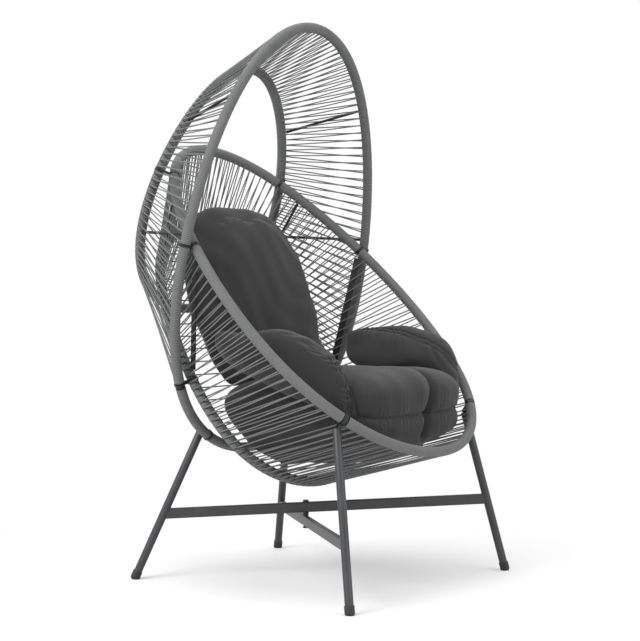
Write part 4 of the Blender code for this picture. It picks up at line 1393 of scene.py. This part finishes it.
@dataclass
class CushionSet:
    """The seat, back and two wing cushions, each of which gives way to those made before it."""

    cloth: ClothFinish = ClothFinish("charcoal_cloth")

    def seat(self) -> Cushion:
        """The seat cushion: one pleat down its middle and a seam across its front.

        The solid's two channels at 95 mm are filled, because the photograph shows one pleat.

        Returns:
            The cushion.
        """
        up_front = dict(facing=(0.0, -0.7, 0.7), facing_from=0.0)
        seams = (
            Seam((0.045, -0.35, 0.5), (1.0, 0.12, -0.35), depth=0.020, half_width=0.012,
                 gathers=0.0006, **up_front),
            Seam((0.0, -0.38, 0.458), (0.0, -0.12, 1.0), (0.0, -1.0, 0.0), 0.35, 0.010, 0.006, 0.0008),
        )
        filled = tuple(
            Seam((sign * 0.095, 0.0, 0.0), (1.0, 0.0, 0.0), depth=-0.011, half_width=0.034, **up_front)
            for sign in SIDES.values())
        pulls = [Pull((0.0, -0.010, 0.010), ((1, -0.20, -0.33), (2, 0.40, 0.52)))]
        for sign in SIDES.values():
            tip = ((1, -0.22, -0.34), (0, sign * 0.06, sign * 0.22))
            rear = ((1, -0.08, 0.06), (0, sign * 0.08, sign * 0.26))
            pulls += [Pull((sign * 0.010, -0.014, 0.0), tip), Pull((sign * 0.012, 0.022, 0.0), rear)]
        return Cushion("seat_cushion", "seat_pad", seams=seams, pulls=tuple(pulls), filled=filled,
                       fill=0.8, rumple=0.0018, evening=70, swell=0.014)

    def back(self) -> Cushion:
        """The back cushion, whose top rises and whose foot comes forward and down.

        Returns:
            The cushion.
        """
        pulls = [Pull((0.0, 0.004, 0.012), ((2, 0.80, 0.98),)),
                 Pull((0.0, -0.014, -0.020), ((2, 0.66, 0.54),))]
        for sign in SIDES.values():
            foot = ((2, 0.66, 0.54), (0, sign * 0.12, sign * 0.26))
            pulls.append(Pull((sign * 0.010, -0.004, -0.030), foot))
        return Cushion("back_cushion", "back_pad", pulls=tuple(pulls), fill=0.7, rumple=0.0036,
                       evening=150, swell=0.010)

    def wing(self, side: str) -> Cushion:
        """A side cushion with a double seam near its front edge.

        Args:
            side: "left" or "right".

        Returns:
            The cushion.
        """
        if side == "left":
            pulls = (Pull((0.0, 0.0, -0.052), ((1, -0.14, 0.04), (2, 0.52, 0.68))),
                     Pull((0.0, -0.006, 0.030), ((1, -0.08, -0.26), (2, 0.48, 0.60))))
            edge = dict(normal=(0.817, -0.208, 0.538), facing=(0.0, 0.0, 1.0), facing_from=-1.4)
            seams = (Seam((0.278, -0.148, 0.622), depth=0.0045, half_width=0.0045, gathers=0.0026, **edge),
                     Seam((0.289, -0.151, 0.629), depth=0.0030, half_width=0.0035, **edge))
        else:
            pulls = (Pull((0.016, -0.012, 0.026), ((1, 0.02, -0.27), (2, 0.45, 0.60))),
                     Pull((0.0, 0.0, -0.048), ((1, -0.16, 0.02), (2, 0.52, 0.68))))
            edge = dict(normal=(-0.813, -0.582, 0.026), facing=(0.50, -0.70, 0.50), facing_from=0.1)
            seams = (Seam((-0.322, -0.208, 0.602), depth=0.0050, half_width=0.0045, gathers=0.0034, **edge),
                     Seam((-0.331, -0.215, 0.602), depth=0.0034, half_width=0.0038, **edge))
        return Cushion(f"wing_cushion_{side}", f"wing_pad_{side}", seams=seams, pulls=pulls,
                       fill=0.75, evening=80, swell=0.010)

    def build(self, nodes: dict[str, bpy.types.Object]) -> None:
        """Makes the cushions.

        Args:
            nodes: The CAD nodes by name.
        """
        cloth = self.cloth.material()
        cushions = [self.seat(), self.wing("left"), self.wing("right"), self.back()]
        soft = [c.node for c in cushions]
        built = []
        for cushion in cushions:
            others = [n for n in ("seat_rope", "hood_rope", *soft) if n != cushion.node]
            item = cushion.build(nodes[cushion.node], neighbours_tree(nodes, others), built, cloth)
            built.append(cushion_tree(item))


# Stage


@dataclass
class Studio:
    """A pale floor, soft light and the camera at the photograph's angle."""

    camera_place: tuple[float, float, float] = (-3.6306, -2.6400, 0.8112)
    azimuth_deg: float = -54.40
    pitch_deg: float = -1.474
    focal_px: float = 1649.45
    image_px: float = 641.0
    sensor_mm: float = 36.0
    floor_near: float = 0.45
    floor_far: float = 1.25
    floor_lift: float = 0.12

    def build(self) -> None:
        """Makes the floor, lights, world and camera."""
        self.build_floor()
        self.build_world()
        self.build_lights()
        self.build_camera()

    def build_camera(self) -> None:
        """The camera, whose lens gives the photograph's angle of view."""
        data = bpy.data.cameras.new("camera")
        data.sensor_width = self.sensor_mm
        data.lens = self.focal_px / self.image_px * self.sensor_mm
        camera = bpy.data.objects.new("camera", data)
        bpy.context.scene.collection.objects.link(camera)
        azimuth = math.radians(self.azimuth_deg)
        pitch = math.radians(self.pitch_deg)
        level = math.cos(pitch)
        ahead = Vector((-math.sin(azimuth) * level, math.cos(azimuth) * level, math.sin(pitch)))
        camera.location = self.camera_place
        camera.rotation_euler = ahead.to_track_quat("-Z", "Y").to_euler()
        bpy.context.scene.camera = camera

    def build_floor(self) -> None:
        """A wide pale floor that takes the chair's shadow and is seen as plain white farther out."""
        mesh = bpy.data.meshes.new("floor")
        reach = 30.0
        outline = [(-reach, -reach, 0), (reach, -reach, 0), (reach, reach, 0), (-reach, reach, 0)]
        mesh.from_pydata(outline, [], [(0, 1, 2, 3)])
        floor = bpy.data.objects.new("floor", mesh)
        bpy.context.scene.collection.objects.link(floor)
        sheet = NodeSheet("pale_floor")
        sheet.shader.inputs["Base Color"].default_value = (0.9, 0.9, 0.9, 1.0)
        sheet.shader.inputs["Roughness"].default_value = 0.95
        length = sheet.add("ShaderNodeVectorMath", {0: sheet.object_place()}, operation="LENGTH")
        away = length.outputs["Value"]
        fade_inputs = {"Value": away, "From Min": self.floor_near, "From Max": self.floor_far}
        fade = sheet.add("ShaderNodeMapRange", fade_inputs, interpolation_type="SMOOTHSTEP").outputs[0]
        lift = sheet.add("ShaderNodeEmission", {"Strength": self.floor_lift}).outputs[0]
        near = sheet.add("ShaderNodeAddShader", {0: sheet.shader.outputs[0], 1: lift}).outputs[0]
        white = sheet.add("ShaderNodeEmission", {"Strength": 1.0}).outputs[0]
        faded = sheet.add("ShaderNodeMixShader", {0: fade, 1: near, 2: white}).outputs[0]
        seen = sheet.add("ShaderNodeLightPath").outputs["Is Camera Ray"]
        diffuse = sheet.shader.outputs[0]
        shown = sheet.add("ShaderNodeMixShader", {0: seen, 1: diffuse, 2: faded}).outputs[0]
        sheet.tree.links.new(shown, sheet.tree.nodes["Material Output"].inputs["Surface"])
        mesh.materials.append(sheet.material)

    def build_world(self) -> None:
        """A world that is white where it is seen and gives a soft grey light elsewhere."""
        world = bpy.data.worlds.new("studio")
        world.use_nodes = True
        tree = world.node_tree
        background = tree.nodes["Background"]
        path = tree.nodes.new("ShaderNodeLightPath")
        seen = tree.nodes.new("ShaderNodeMath")
        seen.operation = "MAXIMUM"
        seen_clear = tree.nodes.new("ShaderNodeMath")
        seen_clear.operation = "MAXIMUM"
        tree.links.new(path.outputs["Is Camera Ray"], seen.inputs[0])
        tree.links.new(path.outputs["Is Glossy Ray"], seen.inputs[1])
        tree.links.new(seen.outputs[0], seen_clear.inputs[0])
        tree.links.new(path.outputs["Is Transmission Ray"], seen_clear.inputs[1])
        strength = tree.nodes.new("ShaderNodeMapRange")
        strength.inputs["To Min"].default_value = 0.55
        strength.inputs["To Max"].default_value = 1.0
        tree.links.new(seen_clear.outputs[0], strength.inputs["Value"])
        tree.links.new(strength.outputs[0], background.inputs["Strength"])
        background.inputs["Color"].default_value = (1.0, 1.0, 1.0, 1.0)
        bpy.context.scene.world = world
        bpy.context.scene.view_settings.view_transform = "Standard"

    def build_lights(self) -> None:
        """A large key light on the camera's left, a fill on its right and one from above."""
        for name, place, size, power in (
            ("key", (-3.6, 0.8, 3.0), 2.6, 120.0),
            ("fill", (0.6, -4.2, 2.2), 2.6, 45.0),
            ("top", (0.0, 0.2, 4.2), 3.0, 70.0),
        ):
            data = bpy.data.lights.new(name, "AREA")
            data.size = size
            data.energy = power
            light = bpy.data.objects.new(name, data)
            light.location = place
            aim = Vector((0.0, 0.0, 0.75)) - Vector(place)
            light.rotation_euler = aim.to_track_quat("-Z", "Y").to_euler()
            bpy.context.scene.collection.objects.link(light)


def main() -> None:
    """Builds the chair's pieces in order and sets the stage."""
    logging.basicConfig(level=logging.INFO, format="%(name)s: %(message)s")
    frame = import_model()
    nodes = frame["nodes"]
    RopeShells().build()
    LegFrame().build()
    CushionSet().build(nodes)
    Fittings().build(nodes)
    Studio().build()


if __name__ == "__main__":
    main()
